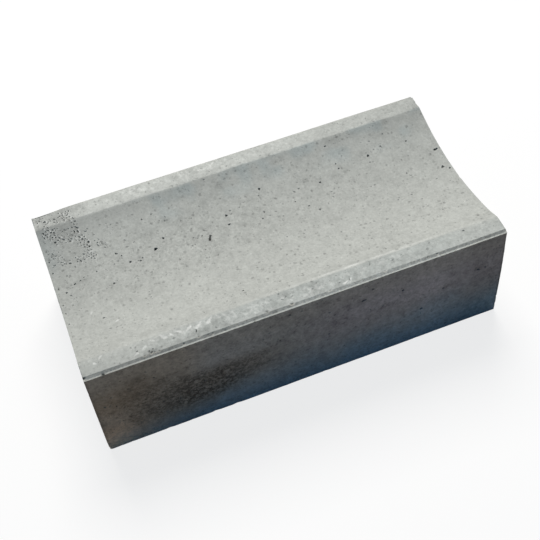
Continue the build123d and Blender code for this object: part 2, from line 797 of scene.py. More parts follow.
# Strings of crumbs in the honeycombed corner of the top: both ends by x and y, and how many there are.
# A string is at full strength with FULL_STRING crumbs, and dulls the skin within STRING_REACH (mm).
FULL_STRING = 9.0
STRING_REACH = 3.4
HONEYCOMB = (
    ((-242, 116), (-235, 107), 8),
    ((-228, 111), (-223, 105), 5),
    ((-214, 117), (-208, 110), 9),
    ((-218, 109), (-203, 100), 9),
    ((-241, 100), (-229, 87), 9),
    ((-243, 94), (-234, 84), 8),
    ((-238, 90), (-230, 79), 8),
    ((-230, 79), (-221, 82), 5),
    ((-217, 79), (-211, 81), 6),
    ((-229, 95), (-209, 87), 3),
    ((-206, 93), (-202, 90), 4),
    ((-206, 86), (-200, 75), 11),
    ((-200, 75), (-196, 63), 11),
    ((-197, 66), (-200, 54), 7),
    ((-207, 72), (-201, 66), 7),
    ((-215, 48), (-205, 52), 6),
    ((-200, 54), (-194, 46), 6),
    ((-188, 64), (-179, 57), 3),
    ((-240, 64), (-232, 60), 3),
    ((-234, 50), (-223, 53), 4),
)
# Bites out of the front face's bottom edge: x, reach along and how much they add to the edge's rounding
FOOT_BITES = (
    (-222, 3, 0.5),
    (-176, 4, 1.5),
    (-148, 2.5, 0.8),
    (-119.5, 3, 2),
    (-92, 4, 1.5),
)
# Bites along the front bevel: x, how far up from the bevel's top edge, radius and depth
BITES = (
    (-249.5, -1.5, 2.6, 1.3),
    (-228.5, -4.8, 2.4, 1.3),
    (-181, 0.2, 2, 0.6),
    (-173.5, 0.5, 1.7, 0.9),
    (-169.5, 0.3, 1.6, 0.9),
    (-165, 0, 1.6, 0.8),
    (-138, -1.8, 1.5, 0.9),
    (-120.5, 0.2, 1.6, 0.8),
    (-110, -1.2, 1.4, 0.6),
    (-105, -1.5, 1.4, 0.6),
    (-91, -3, 1.3, 0.6),
    (-41.5, 1, 1.8, 1),
    (-13, 0.2, 2.2, 1.1),
    (32.6, 0.2, 1.5, 0.6),
    (98, 0.1, 1.4, 0.5),
    (162, -1, 1.7, 0.8),
)


@dataclass
class Face:
    """A face's points on two flat axes, with the lines that its triangles may not cross."""

    places: Array
    edges: list[tuple[int, int]]

    def triangles(self) -> Array:
        """Joins the points into triangles by the Delaunay rule, keeping the given lines as edges.

        Returns:
            Three indices to each triangle, turning left.
        """
        found = delaunay_2d_cdt(self.places.tolist(), self.edges, [], 1 if self.edges else 0, TINY, True)
        first = np.array([ids[0] for ids in found[3]])
        return first[np.array(found[2])]


@dataclass(frozen=True)
class Sheet:
    """Where a face lies on the map: its lower left corner, and its scale, with the block's length as 1."""

    corner: Point
    scale: float


# Front side, top, back side and bed, then the two ends
SKIN_SHEETS = (
    Sheet((0.005, 0.545), 0.62),
    Sheet((0.005, 0.005), 0.985),
    Sheet((0.005, 0.735), 0.58),
    Sheet((0.64, 0.545), 0.34),
)
CAP_SHEETS = (Sheet((0.6, 0.735), 0.38), Sheet((0.6, 0.86), 0.38))


@dataclass
class Surface:
    """The block's surface while it is put together: points with their shades, then faces part by part.

    Each part has its triangles, a place on the map for each of their corners, and their finishes.
    """

    points: Array
    dark: Array
    pale: Array
    faces: list[Array]
    maps: list[Array]
    finishes: list[Array]

    def add(self, points: Array, dark: Array, faces: Array, corner_map: Array, finish: Finish) -> None:
        """Takes in a further part, of one finish and nowhere pale.

        Args:
            points: its new points.
            dark: how dark each is.
            faces: its triangles.
            corner_map: a place on the map for each corner.
            finish: what it wears.
        """
        self.points = np.concatenate([self.points, points])
        self.dark = np.concatenate([self.dark, dark])
        self.pale = np.concatenate([self.pale, np.zeros(len(points))])
        self.faces.append(faces)
        self.maps.append(corner_map)
        self.finishes.append(np.full(len(faces), finish.value))


def stained(x: Array, z: Array) -> Array:
    """Where the front face is stained: a wide soft patch left of the middle, lower towards the left end.

    Args:
        x: places along the face, in millimetres.
        z: their heights.

    Returns:
        The stain's strength at each place, from 0 to 1.
    """
    strong = step(-254.0, -190.0, x) * step(0.0, -105.0, x) * (1.0 - 0.32 * step(-135.0, -180.0, x))
    strong += 0.2 * hump(x, -142.0, 30.0) * hump(z, 44.0, 12.0)
    strong -= 0.15 * hump(x, -88.0, 16.0) * hump(z, 74.0, 24.0)
    left, right = np.maximum(0.0, -130.0 - x), np.maximum(0.0, x + 120.0)
    middle = 60.0 + 0.15 * right + 0.08 * left
    half = np.maximum(33.0 + 0.16 * left - 0.15 * right, 14.0)
    return strong * hump((z - middle) / half, 0.0, 1.0, 4.0)


def crumbled(x: Array, y: Array) -> Array:
    """How near places of the top lie to the strings of crumbs: a soft hump of the distance to each string.

    Args:
        x: places along the flow, in millimetres.
        y: places across it.

    Returns:
        The strength at each place, from 0 to 1, and more beside a string with more crumbs.
    """
    near = np.zeros(len(x))
    for (x0, y0), (x1, y1), count in HONEYCOMB:
        long, wide = x1 - x0, y1 - y0
        share = np.clip(((x - x0) * long + (y - y0) * wide) / (long**2 + wide**2), 0.0, 1.0)
        away = np.hypot(x - x0 - share * long, y - y0 - share * wide)
        near = np.maximum(near, hump(away, 0.0, STRING_REACH) * count / FULL_STRING)
    return near


def patches(rows: tuple[tuple[float, ...], ...], first: Array, second: Array) -> Array:
    """Adds up soft patches: the sum of strength * hump(first axis) * hump(second axis).

    Args:
        rows: each patch's place on two axes, its reach along both (mm) and its strength.
        first: places on the first axis, in millimetres.
        second: places on the second.

    Returns:
        The patches' strength at each place.
    """
    total = np.zeros(len(first))
    for at_first, at_second, long, wide, strength in rows:
        total += strength * hump(first, at_first, long) * hump(second, at_second, wide)
    return total


@dataclass
class ChannelBlock:
    """The cast block: a dished section carried along a straight flow line, with voids and worn edges."""

    low: Array
    high: Array
    # How far from a sharp edge, and from an end, the rows of points beside it lie
    edge_rows: tuple[float, ...] = (0.8 * MM, 2.0 * MM, 3.8 * MM)
    end_rows: tuple[float, ...] = (0.8 * MM, 2.0 * MM, 3.8 * MM)
    # The widest pitch of points along a sharp edge, round an end's outline and there along the bed
    edge_pitch: float = 1.7 * MM
    outline_pitch: float = 1.9 * MM
    bed_pitch: float = 3.4 * MM
    pitch: dict[Strip, float] = field(
        default_factory=lambda: {
            Strip.SIDE_FRONT: 3.4 * MM,
            Strip.LEDGE_FRONT: 1.1 * MM,
            Strip.BEVEL_FRONT: 1.1 * MM,
            Strip.RIM_FRONT: 2.1 * MM,
            Strip.LIP_FRONT: 0.9 * MM,
            Strip.DISH: 2.5 * MM,
            Strip.LIP_BACK: 0.9 * MM,
            Strip.RIM_BACK: 2.1 * MM,
            Strip.BEVEL_BACK: 1.4 * MM,
            Strip.LEDGE_BACK: 1.3 * MM,
            Strip.SIDE_BACK: 3.8 * MM,
            Strip.BED: 7.0 * MM,
        }
    )
    cap_pitch: float = 3.8 * MM
    # The faces' long waves and finer unevenness: pitch and height
    wave_pitch: float = 55.0 * MM
    top_wave: float = 0.16 * MM
    side_wave: float = 0.19 * MM
    fine_pitch: float = 9.0 * MM
    fine_height: float = 0.05 * MM
    # What has crumbled off the top's left back corner, at its deepest
    corner_loss: float = 1.5 * MM
    # How far a crumb strays from its string (mm), and how many are tried for each that is asked for
    stray: float = 1.9
    tries: int = 8
    # How many specks are tried on the whole top, and pores on each mould face and each end
    top_specks: int = 9000
    face_pores: dict[Strip, int] = field(
        default_factory=lambda: {Strip.SIDE_FRONT: 220, Strip.SIDE_BACK: 170, Strip.BED: 70}
    )
    end_pores: int = 90
    # A bite this deep is as dark as bites get, and the darkness of bites is painted shade
    bite_depth: float = 0.7 * MM
    bite_shade: float = 0.7
    # The rounding of worn edges, its least and what is rough: round the ends, at the foot and at the ledges
    end_wear: tuple[float, float] = (0.4 * MM, 0.5 * MM)
    foot_wear: tuple[float, float] = (0.35 * MM, 0.4 * MM)
    ledge_wear: tuple[float, float] = (0.2 * MM, 0.3 * MM)
    wear_pitch: float = 14.0 * MM
    nick_pitch: float = 8.0 * MM
    # Faces that meet at a wider angle than this are shaded apart
    sharp_angle: float = 36.0
    seed: int = 20

    CRUMBS = Scatter(
        0.75 * MM, 1.8 * MM, 1.4, stretch=3.0, depth=0.75, gloom=0.64, edge=1.0, turn=-0.95, veer=0.7
    )
    SPECKS = Scatter(0.5 * MM, 1.35 * MM, 2.0, stretch=1.8, depth=0.55, gloom=0.38, edge=0.25)
    FACE_PORES = Scatter(0.6 * MM, 1.6 * MM, 2.4)
    END_PORES = Scatter(0.6 * MM, 2.0 * MM, 2.3, stretch=1.0, depth=0.9, gloom=0.5)

    def __post_init__(self) -> None:
        """Takes the section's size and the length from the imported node's box."""
        self.length = float(self.high[0] - self.low[0])
        self.end = self.length / 2.0
        self.section = Section(float(self.high[1] - self.low[1]), float(self.high[2] - self.low[2]))
        self.borders = self.section.borders()
        self.uneven = Unevenness(self.seed)
        smooth = {Strip.SIDE_FRONT, Strip.LIP_FRONT, Strip.DISH, Strip.LIP_BACK, Strip.RIM_BACK}
        edges = [self.start_of(strip) for strip in Strip if strip not in smooth]
        self.sharp = np.array([0.0, *edges, self.borders[-1]])

    def start_of(self, strip: Strip) -> float:
        """Where a strip starts, measured round the section."""
        return float(self.borders[strip.value])

    def end_of(self, strip: Strip) -> float:
        """Where a strip ends, measured round the section."""
        return float(self.borders[strip.value + 1])

    def to_edge(self, s: Array) -> Array:
        """How far places round the section lie from the nearest sharp edge."""
        return np.abs(s[:, None] - self.sharp).min(axis=1)

    def front_around(self, z: Array) -> Array:
        """The distance round the section of places on the front face, which is their height."""
        return z

    def top_around(self, y: Array) -> Array:
        """The distance round the section of places on the top, by how far from the middle they lie."""
        fine = np.linspace(self.start_of(Strip.RIM_FRONT), self.start_of(Strip.BEVEL_BACK), 2000)
        return np.interp(y, self.section.at(fine)[0][:, 0], fine)

    def rows(self) -> tuple[Array, Array]:
        """The lines of the skin along the flow: each strip's own pitch, drawn together beside a sharp edge.

        Returns:
            Distances round the section, and the pitch of the points along each line.
        """
        at, pitch = [], []
        for strip in Strip:
            start, own = self.start_of(strip), self.pitch[strip]
            wide = self.end_of(strip) - start
            inner = np.array([0.0, wide])
            if wide > 4.0 * self.edge_rows[-1]:
                first = self.edge_rows if np.isclose(self.sharp, start).any() else ()
                last = self.edge_rows if np.isclose(self.sharp, start + wide).any() else ()
                inner = np.array([0.0, *first, *(wide - np.array(last[::-1])), wide])
            for low, gap in zip(inner, np.diff(inner), strict=False):
                count = max(1, round(gap / own if gap > 1.5 * own else gap / (1.5 * own)))
                at.extend(start + low + gap * np.arange(count) / count)
            new = np.array(at[len(pitch) :])
            fine = min(self.edge_pitch, own)
            pitch.extend(fine + (own - fine) * step(0.0, 2.0 * self.edge_rows[-1], self.to_edge(new)))
        return np.array([*at, self.borders[-1]]), np.array([*pitch, self.edge_pitch])

    def skin_points(self, voids: Voids) -> tuple[Array, Array, Array, Array, list[tuple[int, int]]]:
        """The points of the skin on the axes (along the flow, round the section).

        Lines along the flow carry evenly spaced points, each second line shifted by half a space. Columns
        beside the two ends carry the points of their outline. Voids push the points aside and bring rings
        of their own.

        Args:
            voids: the voids of the skin.

        Returns:
            Places, the depth, darkness and paleness of each, and the lines kept as edges.
        """
        at, pitch = self.rows()
        inner = self.end - self.end_rows[-1]
        sharp = self.to_edge(at) < TINY
        places, held = [], []
        for index, (height, gap) in enumerate(zip(at, pitch, strict=True)):
            count = max(4, round(2.0 * (inner - gap) / gap))
            shift = 0.0 if sharp[index] else 0.25 * (-1) ** index
            x = (np.arange(count + 1) / count - 0.5) * 2.0 * (inner - gap) + shift * gap
            places.append(np.stack([x, np.full(len(x), height)], axis=1))
            held.append(np.full(len(x), sharp[index]))
        columns = self.end_column()
        for depth, sign in itertools.product((0.0, *self.end_rows), (-1.0, 1.0)):
            places.append(np.stack([np.full(len(columns), sign * (self.end - depth)), columns], axis=1))
            held.append((self.to_edge(columns) < TINY) | (depth == 0.0))
        free, held = np.concatenate(places), np.concatenate(held)
        free = free[held | voids.clear_of(free)]
        ring, depth, dark, pale = voids.points()
        places = np.concatenate([free, ring])
        edges = []
        for line in self.sharp:
            on = np.flatnonzero(np.abs(places[:, 1] - line) < TINY)
            edges += self.chain(on[np.argsort(places[on, 0])])
        for x in (-self.end, self.end):
            on = np.flatnonzero(np.abs(places[:, 0] - x) < TINY)
            edges += self.chain(on[np.argsort(places[on, 1])])
        none = np.zeros(len(free))
        depth, dark, pale = (np.concatenate([none, values]) for values in (depth, dark, pale))
        return places, depth, dark, pale, edges

    @staticmethod
    def chain(order: Array) -> list[tuple[int, int]]:
        """The edges that join points one after another."""
        return list(zip(order[:-1].tolist(), order[1:].tolist(), strict=True))

    def end_column(self) -> Array:
        """The points on an end's outline, at each strip's pitch or finer.

        Returns:
            Distances round the section.
        """
        out = []
        for strip in Strip:
            start, end = self.start_of(strip), self.end_of(strip)
            widest = self.bed_pitch if strip is Strip.BED else self.outline_pitch
            count = max(1, round((end - start) / min(self.pitch[strip], widest)))
            out.extend(start + (end - start) * np.arange(count) / count)
        return np.array([*out, self.borders[-1]])

    def relief(self, places: Array, top: Array) -> Array:
        """How far the true face lies off the drawn one: long soft waves, with a finer unevenness on them.

        Args:
            places: points of the drawn block.
            top: true on the pressed top, false on the faces that the mould shaped.

        Returns:
            The offset along the outward normal. It is never outward, so the block keeps its drawn size.
        """
        wave = self.uneven.rough(places, self.wave_pitch, 2)
        fine = self.uneven.rough(places + 1.0, self.fine_pitch, 2)
        uneven = np.where(top, self.top_wave, self.side_wave) * (wave - 1.0)
        uneven += self.fine_height * (fine - 1.0)
        return np.minimum(uneven, 0.0) - self.lost_corner(places)

    def lost_corner(self, places: Array) -> Array:
        """How much has crumbled off the top's left back corner: a soft hollow, deepest at the corner.

        Args:
            places: points of the drawn block.

        Returns:
            The depth lost at each point.
        """
        x, y, z = places.T / MM
        corner = hump(x, -252.0, 36.0, 3.0) * hump(y, 125.0, 18.0, 3.0)
        return self.corner_loss * corner * step(120.0, 146.0, z)

    def top_voids(self) -> Voids:
        """The voids of the top: those listed, the honeycombed corner, then drifts of specks.

        Returns:
            The voids on the skin's axes.
        """
        draw = np.random.default_rng(self.seed + 1)
        voids = Voids()
        voids.place(TOP_PITS, self.top_around)
        voids.place(TOP_SCUFFS, self.top_around)
        strings = [np.linspace(start, end, self.tries * count) for start, end, count in HONEYCOMB]
        strong = np.concatenate([np.full(len(string), len(string)) for string in strings])
        strong = strong / (self.tries * FULL_STRING)
        middle = np.concatenate(strings)
        x, y = (middle + draw.normal(0.0, self.stray, middle.shape)).T * MM
        rows = self.CRUMBS.strew(draw, x, self.top_around(y))
        for name in ("radius", "depth"):
            rows[name] *= 0.7 + 0.4 * strong
        for name in ("gloom", "edge"):
            rows[name] *= 0.3 + 0.8 * strong
        self.strew(voids, rows)
        count = self.top_specks
        x = draw.uniform(-self.end, self.end, count)
        y = draw.uniform(-118.0, 118.0, count) * MM
        drift = self.uneven.rough(np.stack([x, y, np.zeros(count)], axis=1) + 3.0, 13.0 * MM, 2)
        kept = draw.random(count) < self.speck_chance(x / MM, y / MM) * np.exp(2.7 * drift)
        self.strew(voids, self.SPECKS.strew(draw, x[kept], self.top_around(y[kept])))
        return voids

    @staticmethod
    def speck_chance(x: Array, y: Array) -> Array:
        """How likely a speck is: most in the dish left of the middle and in the honeycombed corner.

        Args:
            x: places along the flow, in millimetres.
            y: places across it.

        Returns:
            The share of specks that is kept at each place.
        """
        thick = hump(x, -110.0, 120.0) * hump(y, 34.0, 42.0)
        comb = hump(np.hypot(x + 220.0, (y - 78.0) / 1.3), 0.0, 27.0, 6.0)
        return 0.021 + 0.07 * thick + 0.09 * comb + 0.015 * step(-70.0, 30.0, y)

    def side_voids(self, voids: Voids) -> None:
        """Adds the voids of the two side faces and the bed: the front's own, then an even scatter.

        Args:
            voids: the skin's voids, which grow.
        """
        draw = np.random.default_rng(self.seed + 2)
        voids.place(FRONT_PITS, self.front_around)
        voids.place(FRONT_FLECKS, self.front_around)
        for strip, count in self.face_pores.items():
            x = draw.uniform(-self.end, self.end, count)
            s = draw.uniform(self.start_of(strip), self.end_of(strip), count)
            self.strew(voids, self.FACE_PORES.strew(draw, x, s))

    def strew(self, voids: Voids, rows: Array) -> None:
        """Adds voids strewn at random to the others, but for those too near a sharp edge or an end."""
        room = 1.6 * rows["radius"] * np.sqrt(rows["stretch"])
        voids.add(rows[(self.to_edge(rows["s"]) > room) & (self.end - np.abs(rows["x"]) > room)])

    def bitten(self, flat: Array) -> Array:
        """How deep the bites along the bevel reach: d (1 - q^2)^2, with q the distance over the radius.

        Args:
            flat: the skin's points on its two axes.

        Returns:
            A depth for each point.
        """
        depth = np.zeros(len(flat))
        for x, up, radius, deep in BITES:
            away = flat / MM - (x, self.start_of(Strip.RIM_FRONT) / MM + up)
            q = np.minimum(np.hypot(away[:, 0] / 1.25, away[:, 1]) / radius, 1.0)
            depth = np.maximum(depth, deep * MM * (1.0 - q * q) ** 2)
        return depth

    @staticmethod
    def worn(
        places: Array, first: Array, second: Array, way_one: Array, way_two: Array, radius: Array
    ) -> Array:
        """Rounds a square edge: what lies nearer than a radius to both faces moves onto the quarter circle.

        Args:
            places: the points.
            first: each point's depth below the first face.
            second: its depth below the second.
            way_one: inward direction of the first face.
            way_two: inward direction of the second.
            radius: the rounding at each point.

        Returns:
            The points, moved.
        """
        q = np.stack([radius - first, radius - second], axis=1)
        away = np.linalg.norm(q, axis=1)
        near = (q > 0.0).all(axis=1) & (away > radius) & (first > -SLACK) & (second > -SLACK)
        pull = np.where(near, 1.0 - radius / np.maximum(away, TINY), 0.0)[:, None]
        return places + pull * (q[:, :1] * way_one + q[:, 1:] * way_two)

    def edge_wear(self, places: Array, base: float, rough: float, shift: float) -> Array:
        """The rounding of an edge along its length: a base, a rough part and rare deeper nicks.

        Args:
            places: the points.
            base: the least rounding.
            rough: how much the rough part adds.
            shift: moves the pattern, so that no two edges wear alike.

        Returns:
            A radius for each point.
        """
        soft = 0.5 + 0.5 * self.uneven.rough(places + shift, self.wear_pitch, 3)
        nick = step(0.62, 1.0, self.uneven.rough(places - shift, self.nick_pitch, 2))
        return base + rough * np.clip(soft, 0.0, 1.5) ** 2 + 2.0 * rough * nick

    def wear_ends(self, places: Array, inside: Array, from_end: Array, way: Array, sign: Array) -> Array:
        """Rounds the outline of the two ends, where it meets the skin, most of all at the front corners.

        Args:
            places: the points.
            inside: how far inside the end's outline each lies.
            from_end: how far it lies from the end.
            way: inward direction from the skin.
            sign: -1 at the low X end, 1 at the other.

        Returns:
            The points, moved.
        """
        x, y, z = places.T / MM
        right = x > 0.0
        radius = self.edge_wear(places, *self.end_wear, 3.1)
        # The right end's front edge and front rim, then the bottom front corner of both ends
        radius += 1.7 * MM * right * hump(y, -125.0, 12.0) * hump(z, 150.0, 45.0)
        radius += 2.3 * MM * right * hump(y, -96.0, 30.0, 4.0) * step(110.0, 125.0, z)
        radius += np.where(right, 1.0 * MM, 3.4 * MM) * hump(y, -125.0, 14.0) * hump(z, 0.0, 10.0)
        way_two = np.column_stack([-sign, np.zeros((len(sign), 2))])
        return self.worn(places, inside, from_end, way, way_two, radius)

    def wear_long(self, places: Array) -> Array:
        """Rounds the long square edges: both bottom edges, and the outer edge of both ledges.

        Args:
            places: the points.

        Returns:
            The points, moved.
        """
        side, ledge = self.section.side, self.section.ledge_height
        up = np.broadcast_to((0.0, 0.0, 1.0), places.shape)
        for sign in (-1.0, 1.0):
            below = side - sign * places[:, 1]
            inward = np.broadcast_to((0.0, -sign, 0.0), places.shape)
            radius = self.edge_wear(places, *self.foot_wear, 5.7 + sign)
            if sign < 0.0:
                radius += sum(deep * MM * hump(places[:, 0] / MM, x, long) for x, long, deep in FOOT_BITES)
            places = self.worn(places, below, places[:, 2], inward, up, radius)
            radius = self.edge_wear(places, *self.ledge_wear, 9.2 + sign)
            places = self.worn(places, below, ledge - places[:, 2], inward, -up, radius)
        return places

    def build(self) -> bpy.types.Object:
        """Makes the block: the skin with its voids, bites and worn edges, then the two ends.

        Returns:
            The finished object, with its map, its masks and its faces' finishes set.
        """
        voids = self.top_voids()
        self.side_voids(voids)
        flat, depth, dark, pale, edges = self.skin_points(voids)
        skin = Face(flat, edges).triangles()
        same = self.seam(flat)
        bite = self.bitten(flat)
        surface = Surface(
            points=self.carried(flat, depth, bite),
            # Painted shade in the bites along the bevel, deeper bites darker
            dark=np.maximum(dark, self.bite_shade * step(0.0, self.bite_depth, bite)),
            pale=pale,
            faces=[same[skin]],
            maps=[self.skin_map(flat, skin)],
            finishes=[self.skin_group(flat, skin)],
        )
        for sign in (-1.0, 1.0):
            self.close_end(surface, flat, same, sign)
        surface.points = self.wear_long(surface.points)
        return self.piece(surface)

    def seam(self, flat: Array) -> Array:
        """Joins the skin's last line to its first, along the front bottom edge.

        Args:
            flat: the skin's points on its two axes.

        Returns:
            What stands for each point: its twin on the first line, or the point itself.
        """
        last = np.flatnonzero(np.abs(flat[:, 1] - self.borders[-1]) < TINY)
        first = np.flatnonzero(np.abs(flat[:, 1]) < TINY)
        same = np.arange(len(flat))
        same[last[np.argsort(flat[last, 0])]] = first[np.argsort(flat[first, 0])]
        return same

    def carried(self, flat: Array, depth: Array, bite: Array) -> Array:
        """Carries the skin along the flow: section + (relief - depth - bite) * normal, worn at both ends.

        Args:
            flat: the skin's points on its two axes.
            depth: how deep the voids reach at each point.
            bite: how deep the bites do.

        Returns:
            The points in space.
        """
        y_z, normal = self.section.at(flat[:, 1])
        points = np.column_stack([flat[:, 0], y_z])
        outward = np.column_stack([np.zeros(len(flat)), normal])
        top = (flat[:, 1] > self.sharp[1] - TINY) & (flat[:, 1] < self.start_of(Strip.SIDE_BACK) + TINY)
        offset = self.relief(points, top) - depth - bite
        points = points + offset[:, None] * outward
        from_end, sign = self.end - np.abs(flat[:, 0]), np.sign(flat[:, 0])
        return self.wear_ends(points, np.zeros(len(flat)), from_end, -outward, sign)

    def close_end(self, surface: Surface, flat: Array, same: Array, sign: float) -> None:
        """Closes one end with a cap, which shares the points of its outline with the skin.

        Args:
            surface: the surface, which grows.
            flat: the skin's points on its two axes.
            same: what stands for each of them.
            sign: -1 for the end at low X, 1 for the other.
        """
        rim = np.flatnonzero(np.abs(flat[:, 0] - sign * self.end) < TINY)
        rim = rim[np.argsort(flat[rim, 1])][:-1]
        outline, normal = self.section.at(flat[rim, 1])
        cap, fall, dark, triangles = self.cap(outline, sign)
        new = slice(len(rim), None)
        nearest, inside = self.to_outline(cap[new], outline)
        points = np.column_stack([np.full(len(inside), sign * self.end), cap[new]])
        points[:, 0] += sign * (self.relief(points, np.zeros(len(points), bool)) - fall[new])
        way = np.column_stack([np.zeros(len(points)), -normal[nearest]])
        points = self.wear_ends(points, inside, np.zeros(len(points)), way, np.full(len(points), sign))
        index = np.concatenate([same[rim], len(surface.points) + np.arange(len(points))])
        corner_map = self.cap_map(cap, triangles, sign)
        surface.add(points, dark[new], index[triangles], corner_map, Finish.MOULD_SIDE)

    def cap(self, rim: Array, sign: float) -> tuple[Array, Array, Array, Array]:
        """The points of one end: its outline, rows just inside it, an even grid and its own voids' rings.

        Args:
            rim: the outline's points in (y, z), in order.
            sign: -1 for the end at low X, 1 for the other.

        Returns:
            Places in (y, z), the depth and darkness of each, and the triangles, facing outward.
        """
        draw = np.random.default_rng(self.seed + 5 + int(sign))
        pitch, side, height = self.cap_pitch, self.section.side, self.section.height
        upward = np.arange(0.4 * pitch, height, 0.87 * pitch)
        grid_y, grid_z = np.meshgrid(np.arange(-side, side, pitch) + 0.5 * pitch, upward)
        grid_y[1::2] += 0.5 * pitch
        grid = np.stack([grid_y.ravel(), grid_z.ravel()], axis=1)
        parts = [grid[self.within(grid, rim) & (self.to_outline(grid, rim)[1] > 1.25 * self.end_rows[-1])]]
        _, normal = self.section.at(self.end_column()[:-1])
        for depth in self.end_rows:
            row = (rim - depth * normal)[:: 1 if depth < 1.0 * MM else 2]
            parts.append(row[self.within(row, rim) & (self.to_outline(row, rim)[1] > 0.85 * depth)])
        free = np.concatenate(parts)
        y = draw.uniform(-side, side, self.end_pores)
        z = draw.uniform(0.0, height, self.end_pores)
        rows = self.END_PORES.strew(draw, y, z)
        middle = np.stack([y, z], axis=1)
        room = 1.5 * rows["radius"] * rows["stretch"]
        voids = Voids()
        voids.add(rows[self.within(middle, rim) & (self.to_outline(middle, rim)[1] > room)])
        free = free[voids.clear_of(free)]
        ring, depth, dark, _ = voids.points()
        places = np.concatenate([rim, free, ring])
        triangles = Face(places, [*self.chain(np.arange(len(rim))), (len(rim) - 1, 0)]).triangles()
        triangles = triangles[self.within(places[triangles].mean(axis=1), rim)]
        none = np.zeros(len(rim) + len(free))
        depth, dark = np.concatenate([none, depth]), np.concatenate([none, dark])
        return places, depth, dark, triangles[:, :: int(sign)]

    @staticmethod
    def to_outline(places: Array, rim: Array) -> tuple[Array, Array]:
        """The nearest of an outline's points to each place, and how far off it is."""
        apart = np.linalg.norm(places[:, None] - rim, axis=2)
        return apart.argmin(axis=1), apart.min(axis=1)

    @staticmethod
    def within(places: Array, rim: Array) -> Array:
        """Which places lie inside a closed outline, by how often a ray along the first axis crosses it.

        Args:
            places: points in (y, z).
            rim: the outline's points, in order.

        Returns:
            True for each place inside.
        """
        after = np.roll(rim, -1, axis=0)
        y, z = places[:, :1], places[:, 1:]
        spans = (rim[:, 1] > z) != (after[:, 1] > z)
        rise = np.where(after[:, 1] == rim[:, 1], 1.0, after[:, 1] - rim[:, 1])
        crossing = rim[:, 0] + (z - rim[:, 1]) / rise * (after[:, 0] - rim[:, 0])
        return (spans & (y < crossing)).sum(axis=1) % 2 == 1

    def skin_group(self, flat: Array, skin: Array) -> Array:
        """The finish that each triangle of the skin wears.

        Args:
            flat: the skin's points on its two axes.
            skin: its triangles.

        Returns:
            The finish's number, triangle by triangle.
        """
        others = {
            Strip.SIDE_FRONT: Finish.MOULD_SIDE,
            Strip.BEVEL_FRONT: Finish.BEVEL_STRIP,
            Strip.BEVEL_BACK: Finish.BEVEL_STRIP,
            Strip.SIDE_BACK: Finish.MOULD_SIDE,
            Strip.BED: Finish.BED,
        }
        finishes = np.array([others.get(strip, Finish.PRESSED_TOP).value for strip in Strip])
        return finishes[np.searchsorted(self.borders, flat[skin, 1].mean(axis=1)) - 1]

    def skin_map(self, flat: Array, skin: Array) -> Array:
        """Lays the skin out flat on a square map, the top at full size and what shows less smaller.

        Args:
            flat: the skin's points on its two axes.
            skin: its triangles.

        Returns:
            A place on the map for each corner of each triangle.
        """
        firsts = (Strip.SIDE_FRONT, Strip.LEDGE_FRONT, Strip.SIDE_BACK, Strip.BED)
        starts = np.array([self.start_of(strip) for strip in firsts])
        part = np.searchsorted(starts, flat[skin, 1].mean(axis=1)) - 1
        place = np.stack([flat[skin, 0] + self.end, flat[skin, 1] - starts[part][:, None]], axis=2)
        scale = np.array([sheet.scale for sheet in SKIN_SHEETS])[part]
        corner = np.array([sheet.corner for sheet in SKIN_SHEETS])[part]
        return corner[:, None] + scale[:, None, None] * place / self.length

    def cap_map(self, cap: Array, triangles: Array, sign: float) -> Array:
        """Lays one end out flat on the same map.

        Args:
            cap: the end's points in (y, z).
            triangles: its triangles.
            sign: -1 for the end at low X, 1 for the other.

        Returns:
            A place on the map for each corner of each triangle.
        """
        sheet = CAP_SHEETS[int(sign > 0)]
        place = cap[triangles] + (self.section.side, 0.0)
        return np.asarray(sheet.corner) + sheet.scale * place / self.length

    def masks_of(self, points: Array) -> dict[str, Array]:
        """Where the fine effects of the finishes are strong, as masks from 0 to 1.

        Args:
            points: the mesh's points.

        Returns:
            Each mask by its name.
        """
        x, y, z = points.T / MM
        on_rims, on_top = step(142.0, 149.0, z), step(120.0, 130.0, z)
        front = step(-121.0, -125.0, y) * step(149.0, 144.0, z)
        soft = self.uneven.rough(points, 30.0 * MM, 3)
        wide = front * stained(x, z)
        stain = front * (wide + patches(SMUDGES, x, z)) * (0.95 + 0.1 * soft)
        pored_dish = hump(x, -90.0, 120.0) * hump(y, 30.0, 45.0) * (z > 120.0)
        front_rim = step(-98.0, -106.0, y) * step(-235.0, -150.0, x)
        masks = {
            "bloom": on_rims * patches(BLOOMS, x, y),
            "stain": stain + on_top * patches(TOP_SMUDGES, x, y),
            "porous": on_top * crumbled(x, y) + 0.8 * wide + 0.8 * pored_dish,
            "busy": on_rims * (front_rim + 0.55 * step(98.0, 103.0, y)),
        }
        return {name: np.clip(values, 0.0, 1.0) for name, values in masks.items()}

